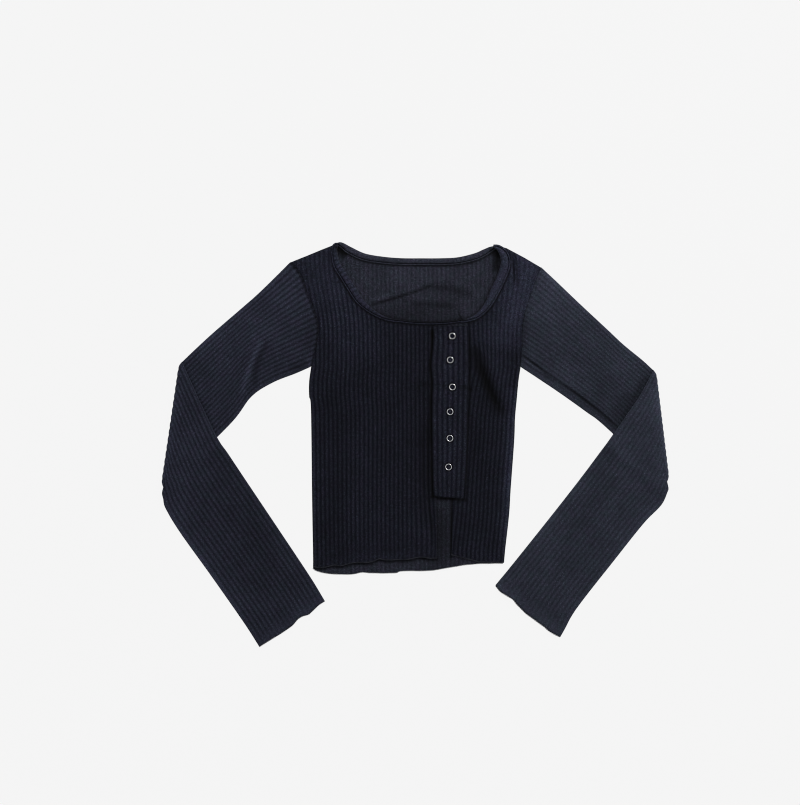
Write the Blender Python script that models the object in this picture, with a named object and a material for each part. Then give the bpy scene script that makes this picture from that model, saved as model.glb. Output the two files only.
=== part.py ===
"""A cropped rib-knit cardigan, buttoned with ring snaps and laid flat on its back.

Lengths are in millimetres; MM turns them into Blender's metres when a mesh is made.
X runs to the viewer's right across the chest, Y from hem to neck, Z up from the floor.
"right" and "left" in names are the wearer's, so the right half lies at -X.
"""
import math
from collections import namedtuple

import bmesh
import bpy
import numpy as np
from mathutils.geometry import delaunay_2d_cdt

MM = 0.001

# ---- cloth ------------------------------------------------------------------------------
WALL = 1.3               # one layer of rib knit, measured in a valley
SEAM_GAP = 0.3           # clearance between pieces at seams and between layers
NECK_GAP = 0.5           # a curved seam needs a little more, its edges being faceted
RIB_HEIGHT = 0.6         # how far a rib stands above the valleys beside it
RIB_PITCH = 6.05         # rib to rib on the body
BACK_WALL = 1.2          # the back, seen from its inside, has flatter ribs
BACK_RIB = 0.3

FRONT_UNDER = BACK_WALL + BACK_RIB + 0.1      # the fronts lie on the back
FRONT_TOP = FRONT_UNDER + WALL
STRIP_UNDER = FRONT_TOP + SEAM_GAP            # the placket lies on the fronts
STRIP_TOP = STRIP_UNDER + WALL
SNAP_BASE = STRIP_TOP + SEAM_GAP

PUFF = 2.6               # how far the fronts rise off the back between their edges
PUFF_REACH = 32.0        # the rise is full this far from an edge

# ---- body -------------------------------------------------------------------------------
Place = namedtuple("Place", "x y")
Band = namedtuple("Band", "x y width")
Crease = namedtuple("Crease", "x y")
Spread = namedtuple("Spread", "share start reach")

SHOULDER_RIGHT = [Place(-153.3, 262.5), Place(-131.0, 271.2)]
SHOULDER_LEFT = [Place(128.0, 274.2), Place(149.1, 261.0)]
NECK_CORNER_RIGHT = [Place(-110.6, 272.2), Place(-112.2, 280.0)]    # of the back, by its binding
NECK_CORNER_LEFT = [Place(112.6, 277.2), Place(112.0, 270.6)]

ARMHOLE_RIGHT = [          # shoulder point down to the underarm
    Place(-175.7, 253.5), Place(-161.7, 237.0), Place(-152.7, 213.0), Place(-143.9, 190.4),
    Place(-138.0, 174.0), Place(-136.3, 158.0), Place(-139.5, 138.0), Place(-146.3, 107.3)]
ARMHOLE_LEFT = [
    Place(175.7, 245.5), Place(167.5, 225.0), Place(159.6, 201.0), Place(153.3, 180.0),
    Place(150.0, 158.0), Place(149.8, 134.0), Place(147.3, 106.8)]

SIDE_RIGHT = [             # underarm down to the hem
    Place(-146.3, 107.3), Place(-149.1, 86.0), Place(-149.0, 66.0), Place(-146.5, 46.0),
    Place(-144.9, -79.0), Place(-143.5, -163.0)]
SIDE_LEFT = [
    Place(147.3, 106.8), Place(144.4, 88.0), Place(141.9, 61.0), Place(139.6, 36.0),
    Place(138.4, 4.0), Place(133.4, -65.0), Place(131.2, -100.0), Place(125.6, -150.0)]

HEM_FRONT_RIGHT = [        # the hem waves like a lettuce edge
    Place(-143.1, -172.0), Place(-133.8, -173.6), Place(-122.0, -172.0), Place(-114.0, -170.2),
    Place(-103.6, -170.6), Place(-87.5, -166.8), Place(-63.0, -165.8), Place(-50.3, -161.2),
    Place(-41.0, -162.9), Place(-10.8, -161.8), Place(7.7, -158.9), Place(20.0, -160.5),
    Place(29.6, -160.3)]
HEM_FRONT_LEFT = [
    Place(50.3, -155.5), Place(59.5, -158.0), Place(77.0, -162.5), Place(94.4, -165.8),
    Place(124.0, -166.4)]
HEM_BACK = [
    Place(-143.6, -174.4), Place(-138.6, -178.2), Place(-121.0, -182.2), Place(-90.0, -182.9),
    Place(-75.0, -180.2), Place(-61.0, -181.2), Place(-29.0, -181.1), Place(-19.0, -178.4),
    Place(20.0, -177.8), Place(52.5, -172.6), Place(82.5, -168.6), Place(122.6, -167.6)]

FRONT_EDGE_X = 29.8        # where the right front ends and the left front's underlap starts
UNDERLAP_TOP = 164.4
UNDERLAP_FOOT = -72.0
SLIT = [Place(52.5, -78.0), Place(51.2, -120.0)]    # the left front's edge below the placket

SPREAD_RIGHT = Spread(0.085, 152.0, 108.0)     # the ribs fan out towards the shoulders
SPREAD_LEFT = Spread(0.165, 145.0, 110.0)

# Neck binding: a narrow rib band round the scoop, wide at the shoulders and rolled
# to a thin cord across the front.
BAND_RIGHT = [
    Band(-117.2, 277.4, 12.0), Band(-114.6, 262.0, 10.4), Band(-111.5, 249.0, 9.0),
    Band(-103.0, 233.5, 7.8), Band(-92.5, 217.5, 8.6), Band(-81.5, 201.0, 8.6),
    Band(-68.0, 188.0, 6.6), Band(-53.0, 178.4, 5.0), Band(-38.0, 172.8, 4.4),
    Band(-20.0, 170.6, 4.4), Band(-4.0, 168.6, 3.8), Band(24.5, 167.6, 3.8),
    Band(50.0, 169.4, 3.8), Band(64.6, 171.4, 3.8)]
BAND_LEFT = [
    Band(68.6, 170.8, 5.0), Band(87.5, 178.6, 7.4), Band(101.5, 193.8, 10.6),
    Band(111.5, 213.2, 13.2), Band(121.0, 234.0, 14.0), Band(126.4, 250.0, 14.6),
    Band(125.6, 262.0, 14.2), Band(120.6, 272.0, 13.0)]
BAND_BACK = [
    Band(-105.8, 276.6, 11.0), Band(-93.0, 270.0, 11.6), Band(-72.0, 260.8, 11.4),
    Band(-46.0, 256.4, 11.0), Band(-20.0, 254.4, 10.6), Band(8.0, 254.2, 10.6),
    Band(36.0, 254.4, 11.0), Band(60.0, 256.4, 11.0), Band(84.0, 262.6, 11.6),
    Band(100.0, 270.4, 11.4), Band(107.2, 274.8, 11.0)]
BAND_HEIGHT = 3.0
BAND_RIB_PITCH = 6.4
BAND_RIB = 0.45

# ---- placket ----------------------------------------------------------------------------
STRIP_LEFT = [             # sewn edge, top to bottom
    Place(23.4, 164.8), Place(24.6, 141.0), Place(22.0, 110.0), Place(24.0, 82.0),
    Place(22.8, 50.0), Place(24.2, -50.0), Place(25.6, -76.0)]
STRIP_RIGHT = [            # free edge, bottom to top
    Place(68.4, -79.0), Place(70.2, -50.0), Place(72.8, 0.0), Place(73.4, 50.0),
    Place(74.4, 80.0), Place(74.9, 110.0), Place(73.6, 165.2)]
STRIP_RIBS = 7
SNAPS = [
    Place(51.5, 150.5), Place(48.6, 117.0), Place(51.7, 79.1), Place(48.4, 44.4),
    Place(48.2, 7.3), Place(46.3, -32.8)]
STRIP_FOOT = 1.4           # the fronts are plain this far round the placket
SNAP_OUTER = 5.2
SNAP_INNER = 2.9
SNAP_HEIGHT = 1.5
SNAP_PRESS = 6.2           # the ribs are pressed flat this far round a snap

# ---- sleeves ----------------------------------------------------------------------------
# Each sleeve is one flattened tube, folded once at the elbow so that the forearm lies on
# the upper arm, past whose lower edge it comes down to the floor. A station is a straight
# line across the tube, from the edge that leaves the shoulder to the one that leaves the
# underarm. "bow" is the share of the armhole's curve, "crown" the rise of the layer seen.
TUBE = 3.2                 # two walls and the thin hollow between them
FOLD_GAP = 1.2             # clearance between the two arms of the fold
FOLD_STEPS = 4
DROP_START = 8.0           # past the upper arm's lower edge the forearm starts to come down
DROP_LENGTH = 14.0
SLEEVE_RIBS_UPPER = 20
SLEEVE_RIBS_FORE = 17
INNER_STEPS = 8            # quads across one face of the hollow inside
EDGE_SHARES = (0.005, 0.99)   # the share round a loop at which a face starts and ends
ROUND_SHARE = 0.002        # and what one step round an edge takes

Station = namedtuple("Station", "where a_x a_y b_x b_y bow crown")
Wave = namedtuple("Wave", "share out")

SLEEVE_RIGHT = [
    Station("armhole", -176.0, 253.6, -146.6, 107.4, 1.0, 0.3),
    Station("cap", -198.4, 231.2, -168.0, 98.0, 0.45, 1.5),
    Station("bicep", -222.0, 208.4, -200.0, 85.2, 0.15, 2.0),
    Station("middle", -245.0, 188.3, -229.6, 65.8, 0.0, 0.9),
    Station("bicep", -285.0, 153.7, -257.0, 30.0, 0.0, 0.8),
    Station("bicep", -312.0, 128.7, -318.0, -30.0, 0.0, 0.0),
    Station("fold", -326.6, 114.6, -352.6, -62.0, 0.0, 0.0),
    Station("fore", -311.0, 80.0, -354.4, -67.0, 0.0, 0.0),
    Station("fore", -294.0, 43.0, -354.6, -71.5, 0.0, 0.8),
    Station("fore", -276.0, 6.0, -353.2, -77.0, 0.0, 1.3),
    Station("fore", -262.0, -15.0, -349.6, -92.0, 0.0, 1.1),
    Station("fore", -237.4, -52.0, -330.0, -124.6, 0.0, 1.7),
    Station("fore", -193.6, -117.4, -286.2, -185.8, 0.0, 2.0),
    Station("fore", -148.0, -186.0, -240.6, -251.0, 0.0, 1.5),
    Station("cuff", -127.2, -220.2, -219.4, -284.0, 0.0, 0.8)]
SLEEVE_LEFT = [
    Station("armhole", 176.0, 245.6, 147.6, 106.9, 1.0, 0.3),
    Station("cap", 199.0, 224.0, 171.0, 91.5, 0.5, 1.5),
    Station("bicep", 228.4, 197.4, 203.6, 69.6, 0.2, 1.9),
    Station("middle", 268.4, 160.1, 240.0, 43.6, 0.0, 1.6),
    Station("bicep", 292.0, 138.0, 262.0, 27.0, 0.0, 0.8),
    Station("bicep", 317.4, 117.2, 318.0, -25.0, 0.0, 0.0),
    Station("fold", 332.8, 103.0, 351.8, -54.0, 0.0, 0.0),
    Station("fore", 314.0, 68.0, 353.6, -60.0, 0.0, 0.0),
    Station("fore", 295.0, 40.0, 354.0, -64.0, 0.0, 0.8),
    Station("fore", 273.0, 8.0, 352.6, -68.0, 0.0, 1.3),
    Station("fore", 258.0, -13.0, 344.2, -86.6, 0.0, 1.1),
    Station("fore", 230.2, -50.2, 319.8, -112.0, 0.0, 1.7),
    Station("fore", 189.4, -102.4, 279.4, -162.6, 0.0, 2.0),
    Station("fore", 134.6, -171.0, 225.6, -231.6, 0.0, 1.5),
    Station("cuff", 112.6, -197.6, 206.8, -265.4, 0.0, 0.8)]
CUFF_RIGHT = [
    Wave(0.0, 0.0), Wave(0.095, -0.4), Wave(0.176, 1.3), Wave(0.264, 2.7), Wave(0.34, -0.4),
    Wave(0.407, -0.8), Wave(0.507, 2.3), Wave(0.605, 2.6), Wave(0.757, 1.9), Wave(0.926, 0.9),
    Wave(1.0, 0.6)]
CUFF_LEFT = [
    Wave(0.0, 1.0), Wave(0.05, 3.0), Wave(0.1, 4.3), Wave(0.19, 3.5), Wave(0.27, 2.4),
    Wave(0.34, 5.2), Wave(0.5, 8.2), Wave(0.65, 8.3), Wave(0.77, 8.4), Wave(0.84, 9.4),
    Wave(0.93, 8.4), Wave(1.0, 6.8)]

# A soft trough runs down across the left front from beside the placket.
TROUGH = [Crease(80.0, 142.0), Crease(89.0, 114.0), Crease(100.6, 84.0),
          Crease(111.0, 57.0), Crease(124.0, 27.0)]
TROUGH_WIDTH = 11.0
TROUGH_DEPTH = 0.85        # the share of the front's rise that it takes away

LINE_STEP = 42.0           # spacing of the points along a rib of a panel
SAMPLE = 3.5               # spacing at which a rib is tested against its panel's edge
UNDER_STEP = 44.0          # spacing of the points inside a panel's plain underside
OUTLINE_STEP = 9.0
GUIDE_STEP = 6.0
EDGE_CLEAR = 0.9           # a rib that grazes its panel's edge stops this far from it


# ---- curves -----------------------------------------------------------------------------
def curve(rows, spacing):
    """A smooth curve through the rows, every column carried along, at an even spacing."""
    rows = np.array([tuple(row) for row in rows], float)
    padded = np.vstack([2 * rows[0] - rows[1], rows, 2 * rows[-1] - rows[-2]])
    dense = []
    for before, start, end, after in zip(padded, padded[1:], padded[2:], padded[3:]):
        for t in np.linspace(0, 1, 12, endpoint=False):
            dense.append(0.5 * (2 * start + (end - before) * t
                                + (2 * before - 5 * start + 4 * end - after) * t ** 2
                                + (3 * start - before - 3 * end + after) * t ** 3))
    dense = np.array(dense + [rows[-1]])
    steps = np.linalg.norm(np.diff(dense[:, :2], axis=0), axis=1)
    along = np.concatenate([[0], np.cumsum(steps)])
    count = max(2, int(round(along[-1] / spacing)) + 1)
    places = np.linspace(0, along[-1], count)
    return np.column_stack([np.interp(places, along, column) for column in dense.T])


def left_normals(points):
    """Unit normals to the left of a run of points in plan."""
    ways = np.gradient(points[:, :2], axis=0)
    ways /= np.linalg.norm(ways, axis=1)[:, None]
    return np.column_stack([-ways[:, 1], ways[:, 0]])


def band_edge(band, side, clearance, spacing):
    """The edge of a neck band: side 1 is on its left, -1 on its right."""
    line = curve(band, spacing)
    return line[:, :2] + left_normals(line) * (side * (line[:, 2:3] / 2 + clearance))


def smoothstep(value):
    t = np.clip(value, 0.0, 1.0)
    return t * t * (3 - 2 * t)


def distance_to(points, line):
    """The distance from each point to a run of segments."""
    nearest = np.full(len(points), np.inf)
    for start, end in zip(line[:-1], line[1:]):
        way = end - start
        share = np.clip((points - start) @ way / (way @ way), 0, 1)
        nearest = np.minimum(nearest, np.linalg.norm(points - start - share[:, None] * way, axis=1))
    return nearest


def inside(points, outline):
    """Whether each point lies in a closed outline."""
    x, y = points[:, 0], points[:, 1]
    found = np.zeros(len(points), bool)
    for (x0, y0), (x1, y1) in zip(outline, np.roll(outline, -1, axis=0)):
        if y0 != y1:
            crosses = (y0 > y) != (y1 > y)
            found ^= crosses & (x < (x1 - x0) * (y - y0) / (y1 - y0) + x0)
    return found


# ---- meshes -----------------------------------------------------------------------------
def material(name, colour, roughness, metallic=0.0):
    finish = bpy.data.materials.new(name)
    finish.use_nodes = True
    shader = finish.node_tree.nodes["Principled BSDF"]
    shader.inputs["Base Color"].default_value = (*colour, 1.0)
    shader.inputs["Roughness"].default_value = roughness
    shader.inputs["Metallic"].default_value = metallic
    return finish


def add_object(name, points, faces, finish):
    mesh = bpy.data.meshes.new(name)
    mesh.from_pydata([tuple(point) for point in np.array(points) * MM], [], faces)
    work = bmesh.new()
    work.from_mesh(mesh)
    bmesh.ops.recalc_face_normals(work, faces=work.faces)
    work.to_mesh(mesh)
    work.free()
    mesh.materials.append(finish)
    piece = bpy.data.objects.new(name, mesh)
    bpy.context.scene.collection.objects.link(piece)
    return piece


def triangulate(points, edges, outline_indices):
    """Delaunay triangles that keep the edges and the outline, inside the outline only."""
    outline = np.array([points[index] for index in outline_indices])
    result = delaunay_2d_cdt([tuple(point) for point in points], edges,
                             [list(outline_indices)], 0, 0.005)
    flat = np.array([tuple(vertex) for vertex in result[0]])
    triangles = [tuple(face) for face in result[2]]
    middles = np.array([flat[list(face)].mean(axis=0) for face in triangles])
    kept = [face for face, yes in zip(triangles, inside(middles, outline)) if yes]
    return flat, kept


def boundary_loop(triangles):
    """The directed edge loop round a patch of triangles."""
    directed = set()
    for a, b, c in triangles:
        directed.update([(a, b), (b, c), (c, a)])
    following = {a: b for a, b in directed if (b, a) not in directed}
    start = next(iter(sorted(following)))
    loop = [start]
    while following[loop[-1]] != start:
        loop.append(following[loop[-1]])
    assert len(loop) == len(following), "the panel's edge is not one loop"
    return loop


def rib_runs(line, outline, hidden):
    """The stretches of a rib line that lie on the panel and show, thinned to LINE_STEP.

    A stretch that meets the edge steeply runs across it; one that grazes it stops short.
    """
    line = np.array(line)
    closed = np.vstack([outline, outline[:1]])
    shows = inside(line, outline) & (distance_to(line, closed) > EDGE_CLEAR)
    for cover in hidden:
        shows &= ~inside(line, cover)
    runs, current = [], []
    for index, yes in enumerate(shows):
        if yes:
            current.append(index)
        if current and (not yes or index == len(line) - 1):
            runs.append(current)
            current = []
    pieces = []
    for run in runs:
        if len(run) < 3:
            continue
        picks = np.linspace(run[0], run[-1], max(2, round(len(run) * SAMPLE / LINE_STEP) + 1))
        points = [line[int(round(pick))] for pick in picks]
        for end, step in ((run[0], -1), (run[-1], 1)):
            beyond = end + 2 * step
            if not 0 <= beyond < len(line) or inside(line[[beyond]], outline)[0]:
                continue
            points.insert(0 if step < 0 else len(points), line[beyond])
        pieces.append(np.array(points))
    return pieces


def guide_runs(line, outline):
    """The stretches of a guide line that lie well inside the panel, every point kept."""
    closed = np.vstack([outline, outline[:1]])
    keep = inside(line, outline) & (distance_to(line, closed) > EDGE_CLEAR)
    breaks = np.flatnonzero(np.diff(keep.astype(int))) + 1
    runs = np.split(np.arange(len(line)), breaks)
    return [line[run] for run in runs if keep[run[0]] and len(run) > 1]


def panel(name, outline, lines, guides, top, under, finish, hidden=()):
    """A cloth panel: ribs raised along the lines on top, a plain underside, a rim between.

    The guides are lines where the top changes its form, such as the foot of the placket.
    """
    points = [tuple(point) for point in outline]
    edges = []
    runs = [run for line in lines for run in rib_runs(line, outline, hidden)]
    runs += [run for line in guides for run in guide_runs(line, outline)]
    for run in runs:
        first = len(points)
        points.extend(tuple(point) for point in run)
        edges.extend((first + i, first + i + 1) for i in range(len(run) - 1))
    flat, upper = triangulate(points, edges, range(len(outline)))
    loop = boundary_loop(upper)
    used = sorted({index for face in upper for index in face})
    place = {index: number for number, index in enumerate(used)}
    flat = flat[used]
    upper = [tuple(place[index] for index in face) for face in upper]
    loop = [place[index] for index in loop]

    edge = flat[loop]
    low, high = edge.min(axis=0), edge.max(axis=0)
    grid = np.array([(x, y) for x in np.arange(low[0], high[0], UNDER_STEP)
                     for y in np.arange(low[1], high[1], UNDER_STEP)]) + UNDER_STEP / 2
    closed = np.vstack([edge, edge[:1]])
    grid = grid[inside(grid, edge) & (distance_to(grid, closed) > UNDER_STEP / 4)]
    bottom, lower = triangulate([tuple(point) for point in np.vstack([edge, grid])], [],
                                range(len(edge)))
    assert len(bottom) == len(edge) + len(grid), "the underside gained points"

    solid = [(x, y, z) for (x, y), z in zip(flat, top(flat))]
    first = len(solid)
    solid += [(x, y, z) for (x, y), z in zip(bottom, under(bottom))]
    faces = list(upper) + [(first + c, first + b, first + a) for a, b, c in lower]
    for i in range(len(loop)):
        j = (i + 1) % len(loop)
        faces.append((first + i, first + j, loop[j], loop[i]))
    return add_object(name, solid, faces, finish)


def zip_loops(outer, inner):
    """Triangles between two closed loops of (share round the loop, vertex index)."""
    faces = []
    a, b = 0, 0
    ends = len(outer), len(inner)
    while a < ends[0] or b < ends[1]:
        next_a = outer[a + 1][0] if a + 1 < ends[0] else 1.0
        next_b = inner[b + 1][0] if b + 1 < ends[1] else 1.0
        if b >= ends[1] or (a < ends[0] and next_a <= next_b):
            faces.append((outer[a][1], outer[(a + 1) % ends[0]][1], inner[b % ends[1]][1]))
            a += 1
        else:
            faces.append((outer[a % ends[0]][1], inner[(b + 1) % ends[1]][1], inner[b][1]))
            b += 1
    return faces


# ---- body -------------------------------------------------------------------------------
def side_x(side, y):
    """The side seam's x at each height, held beyond its ends."""
    rows = sorted((place.y, place.x) for place in side)
    return np.interp(y, [row[0] for row in rows], [row[1] for row in rows])


def spread_at(spread, y):
    return 1 + spread.share * smoothstep((y - spread.start) / spread.reach)


def rib_x_right(number, y):
    """Ribs of the right front, counted from the front edge; they spread to the shoulder."""
    underarm = SIDE_RIGHT[0]
    count = round((FRONT_EDGE_X - underarm.x) / RIB_PITCH)
    pitch = (FRONT_EDGE_X - side_x(SIDE_RIGHT, y)) / count
    return FRONT_EDGE_X - number * pitch * spread_at(SPREAD_RIGHT, y)


def rib_x_left(number, y):
    """Ribs of the left front, counted from the side; above the chest they lean outward."""
    anchor = STRIP_RIGHT[-1].x
    underarm = SIDE_LEFT[0]
    spread = spread_at(SPREAD_LEFT, y)
    over = anchor + (underarm.x - anchor) * spread
    return np.where(y > underarm.y, over, side_x(SIDE_LEFT, y)) - number * RIB_PITCH * spread


def rib_x_back(number, y):
    return number * RIB_PITCH + 0 * y


def rib_lines(position, numbers, low, high):
    """Crest and valley lines, half a rib apart."""
    heights = np.arange(low, high, SAMPLE)
    return [np.column_stack([position(number, heights), heights]) for number in numbers]


def rib_wave(position, points):
    """1 on a crest, 0 in a valley; whole numbers of ribs are valleys."""
    x, y = points[:, 0], points[:, 1]
    first, second = position(0.0, y), position(1.0, y)
    return 0.5 - 0.5 * np.cos(2 * math.pi * (x - first) / (second - first))


def neck_edge_right():
    return band_edge(BAND_RIGHT, -1, NECK_GAP, BAND_RIB_PITCH)


def neck_edge_left():
    return band_edge(BAND_LEFT, -1, NECK_GAP, BAND_RIB_PITCH)


def outline_front_right():
    neck = neck_edge_right()
    neck = neck[neck[:, 0] < FRONT_EDGE_X - 2]
    return np.vstack([
        curve(ARMHOLE_RIGHT, OUTLINE_STEP), curve(SIDE_RIGHT, 4 * OUTLINE_STEP)[1:],
        curve(HEM_FRONT_RIGHT, OUTLINE_STEP), [(FRONT_EDGE_X, UNDERLAP_TOP)], neck[::-1],
        [tuple(place) for place in SHOULDER_RIGHT[::-1]]])


def outline_front_left():
    edge = FRONT_EDGE_X + SEAM_GAP
    return np.vstack([
        [(edge, UNDERLAP_TOP), (edge, UNDERLAP_FOOT), (SLIT[0].x, UNDERLAP_FOOT)],
        [tuple(place) for place in SLIT], curve(HEM_FRONT_LEFT, OUTLINE_STEP),
        curve(SIDE_LEFT, 4 * OUTLINE_STEP)[:0:-1], curve(ARMHOLE_LEFT, OUTLINE_STEP)[::-1],
        [tuple(place) for place in SHOULDER_LEFT[::-1]], neck_edge_left()[::-1],
        [(STRIP_RIGHT[-1].x - 3.0, UNDERLAP_TOP)]])


def outline_back():
    neck = band_edge(BAND_BACK, -1, NECK_GAP, BAND_RIB_PITCH)
    return np.vstack([
        curve(ARMHOLE_RIGHT, OUTLINE_STEP), curve(SIDE_RIGHT, 4 * OUTLINE_STEP)[1:],
        curve(HEM_BACK, OUTLINE_STEP), curve(SIDE_LEFT, 4 * OUTLINE_STEP)[:0:-1],
        curve(ARMHOLE_LEFT, OUTLINE_STEP)[::-1],
        [tuple(place) for place in SHOULDER_LEFT[::-1]],
        [tuple(place) for place in NECK_CORNER_LEFT], neck[::-1],
        [tuple(place) for place in NECK_CORNER_RIGHT],
        [tuple(place) for place in SHOULDER_RIGHT[::-1]]])


def offset_outline(outline, reach):
    """A closed outline moved outward and closed on itself, at an even spacing."""
    ways = np.roll(outline, -1, axis=0) - np.roll(outline, 1, axis=0)
    ways /= np.linalg.norm(ways, axis=1)[:, None]
    moved = outline + reach * np.column_stack([ways[:, 1], -ways[:, 0]])
    moved = np.vstack([moved, moved[:1]])
    along = np.concatenate([[0], np.cumsum(np.linalg.norm(np.diff(moved, axis=0), axis=1))])
    places = np.linspace(0, along[-1], int(along[-1] / GUIDE_STEP) + 1)
    return np.column_stack([np.interp(places, along, column) for column in moved.T])


def outline_strip():
    return np.vstack([curve(STRIP_LEFT, OUTLINE_STEP * 2), curve(STRIP_RIGHT, OUTLINE_STEP * 4)])


def widened(band, clearance):
    """The area a neck band covers, with a clearance all round."""
    return np.vstack([band_edge(band, -1, clearance, OUTLINE_STEP),
                      band_edge(band, 1, clearance, OUTLINE_STEP)[::-1]])


def front_rise(points, outline, strip):
    """How far a front stands off the back: nothing at its edges and under the placket."""
    closed = np.vstack([outline, outline[:1]])
    rise = smoothstep(distance_to(points, closed) / PUFF_REACH)
    to_strip = distance_to(points, np.vstack([strip, strip[:1]]))
    rise *= np.where(inside(points, strip), 0.0, smoothstep((to_strip - 2.0) / PUFF_REACH))
    trough = distance_to(points, curve(TROUGH, 8.0))
    return PUFF * rise * (1 - TROUGH_DEPTH * np.exp(-(trough / TROUGH_WIDTH) ** 2))


def make_front(name, outline, position, numbers, strip, finish):
    def under(points):
        return FRONT_UNDER + front_rise(points, outline, strip)

    def top(points):
        clear = distance_to(points, np.vstack([strip, strip[:1]]))
        shown = np.where(inside(points, strip), 0.0, smoothstep((clear - 0.5) / 2.5))
        return under(points) + WALL + RIB_HEIGHT * rib_wave(position, points) * shown

    low, high = outline[:, 1].min() - 8, outline[:, 1].max() + 8
    lines = rib_lines(position, numbers, low, high)
    foot = offset_outline(strip, STRIP_FOOT)
    return panel(name, outline, lines, [foot], top, under, finish, hidden=[foot])


def make_body(knit, knit_inside):
    right, left, back = outline_front_right(), outline_front_left(), outline_back()
    strip = outline_strip()
    make_front("front_right", right, rib_x_right, np.arange(0.5, 32, 0.5), strip, knit)
    make_front("front_left", left, rib_x_left, np.arange(0.5, 22, 0.5), strip, knit)

    covers = [right, left, strip, widened(BAND_RIGHT, 1.0), widened(BAND_LEFT, 1.0)]

    def back_top(points):
        shows = np.ones(len(points), bool)
        for cover in covers:
            shows &= ~inside(points, cover)
        return BACK_WALL + BACK_RIB * rib_wave(rib_x_back, points) * shows

    panel("back", back, rib_lines(rib_x_back, np.arange(-23.5, 20.5, 0.5), -190, 290), [],
          back_top, lambda points: np.zeros(len(points)), knit_inside, hidden=covers)


# ---- neck binding -----------------------------------------------------------------------
def make_band(name, rows, base, finish):
    """A low half-round band with ribs across it."""
    line = curve(rows, BAND_RIB_PITCH / 2)
    normals = left_normals(line)
    profile = [(-0.5, 0.0, 0.0), (-0.46, 0.6, 0.3), (-0.2, 1.0, 1.0), (0.2, 1.0, 1.0),
               (0.46, 0.6, 0.3), (0.5, 0.0, 0.0)]     # (across, up, share of the rib)
    points = []
    for number, (row, normal) in enumerate(zip(line, normals)):
        rib = BAND_RIB * (number % 2)
        for across, up, share in profile:
            x, y = row[:2] + normal * (across * row[2])
            points.append((x, y, base + up * (BAND_HEIGHT - BAND_RIB) + rib * share))
    size = len(profile)
    faces = [tuple(range(size)), tuple(range(len(points) - size, len(points)))]
    for ring in range(len(line) - 1):
        for i in range(size):
            j = (i + 1) % size
            a, b = ring * size, (ring + 1) * size
            faces.append((a + i, a + j, b + j, b + i))
    add_object(name, points, faces, finish)


# ---- placket ----------------------------------------------------------------------------
def rib_x_strip(number, y):
    left = side_x(STRIP_LEFT, y)
    return left + (side_x(STRIP_RIGHT, y) - left) * number / STRIP_RIBS


def circle(centre, radius, count):
    angles = np.linspace(0, 2 * math.pi, count + 1)
    return np.column_stack([centre.x + radius * np.cos(angles), centre.y + radius * np.sin(angles)])


def make_placket(knit, metal):
    outline = outline_strip()
    middles = np.array([tuple(place) for place in SNAPS])

    def top(points):
        nearest = np.linalg.norm(points[:, None] - middles[None], axis=2).min(axis=1)
        pressed = smoothstep((nearest - SNAP_PRESS) / 2.0)
        return STRIP_TOP + RIB_HEIGHT * rib_wave(rib_x_strip, points) * pressed

    lines = rib_lines(rib_x_strip, np.arange(0.5, STRIP_RIBS, 0.5), -90, 175)
    rings = [circle(place, SNAP_PRESS, 10) for place in SNAPS]
    make_strip(outline, lines, rings, top, knit)
    for number, place in enumerate(SNAPS, 1):
        make_snap("snap_%d" % number, place, metal)


def make_strip(outline, lines, rings, top, finish):
    """The strip's ribs stop at the pressed rings round the snaps."""
    pieces = []
    for line in lines:
        keep = np.ones(len(line), bool)
        for ring in rings:
            keep &= np.linalg.norm(line - ring[:-1].mean(axis=0), axis=1) > SNAP_PRESS + 1.5
        breaks = np.flatnonzero(np.diff(keep.astype(int))) + 1
        for part in np.split(np.arange(len(line)), breaks):
            if keep[part[0]] and len(part) > 2:
                pieces.append(line[part])
    panel("placket", outline, pieces, rings, top,
          lambda points: np.full(len(points), STRIP_UNDER), finish)


def make_snap(name, place, finish):
    """An open ring with a domed face."""
    middle = (SNAP_OUTER + SNAP_INNER) / 2
    profile = [(SNAP_INNER, 0.0), (SNAP_OUTER, 0.0), (SNAP_OUTER - 0.3, 0.8), (middle, SNAP_HEIGHT),
               (SNAP_INNER + 0.3, 0.9)]
    count = 14
    points = []
    for angle in np.arange(count) * 2 * math.pi / count:
        for radius, up in profile:
            points.append((place.x + radius * math.cos(angle), place.y + radius * math.sin(angle),
                           SNAP_BASE + up))
    size = len(profile)
    faces = []
    for turn in range(count):
        a, b = turn * size, (turn + 1) % count * size
        for i in range(size):
            j = (i + 1) % size
            faces.append((a + i, b + i, b + j, a + j))
    add_object(name, points, faces, finish)


# ---- sleeves ----------------------------------------------------------------------------
def rounded(angle, reach, layer):
    """A point on the half-round edge: its share in from the edge, and its height."""
    turn = math.radians(angle)
    return reach * (1 - math.cos(turn)), 0.5 + 0.5 * math.sin(turn) * (-1 if layer else 1)


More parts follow.
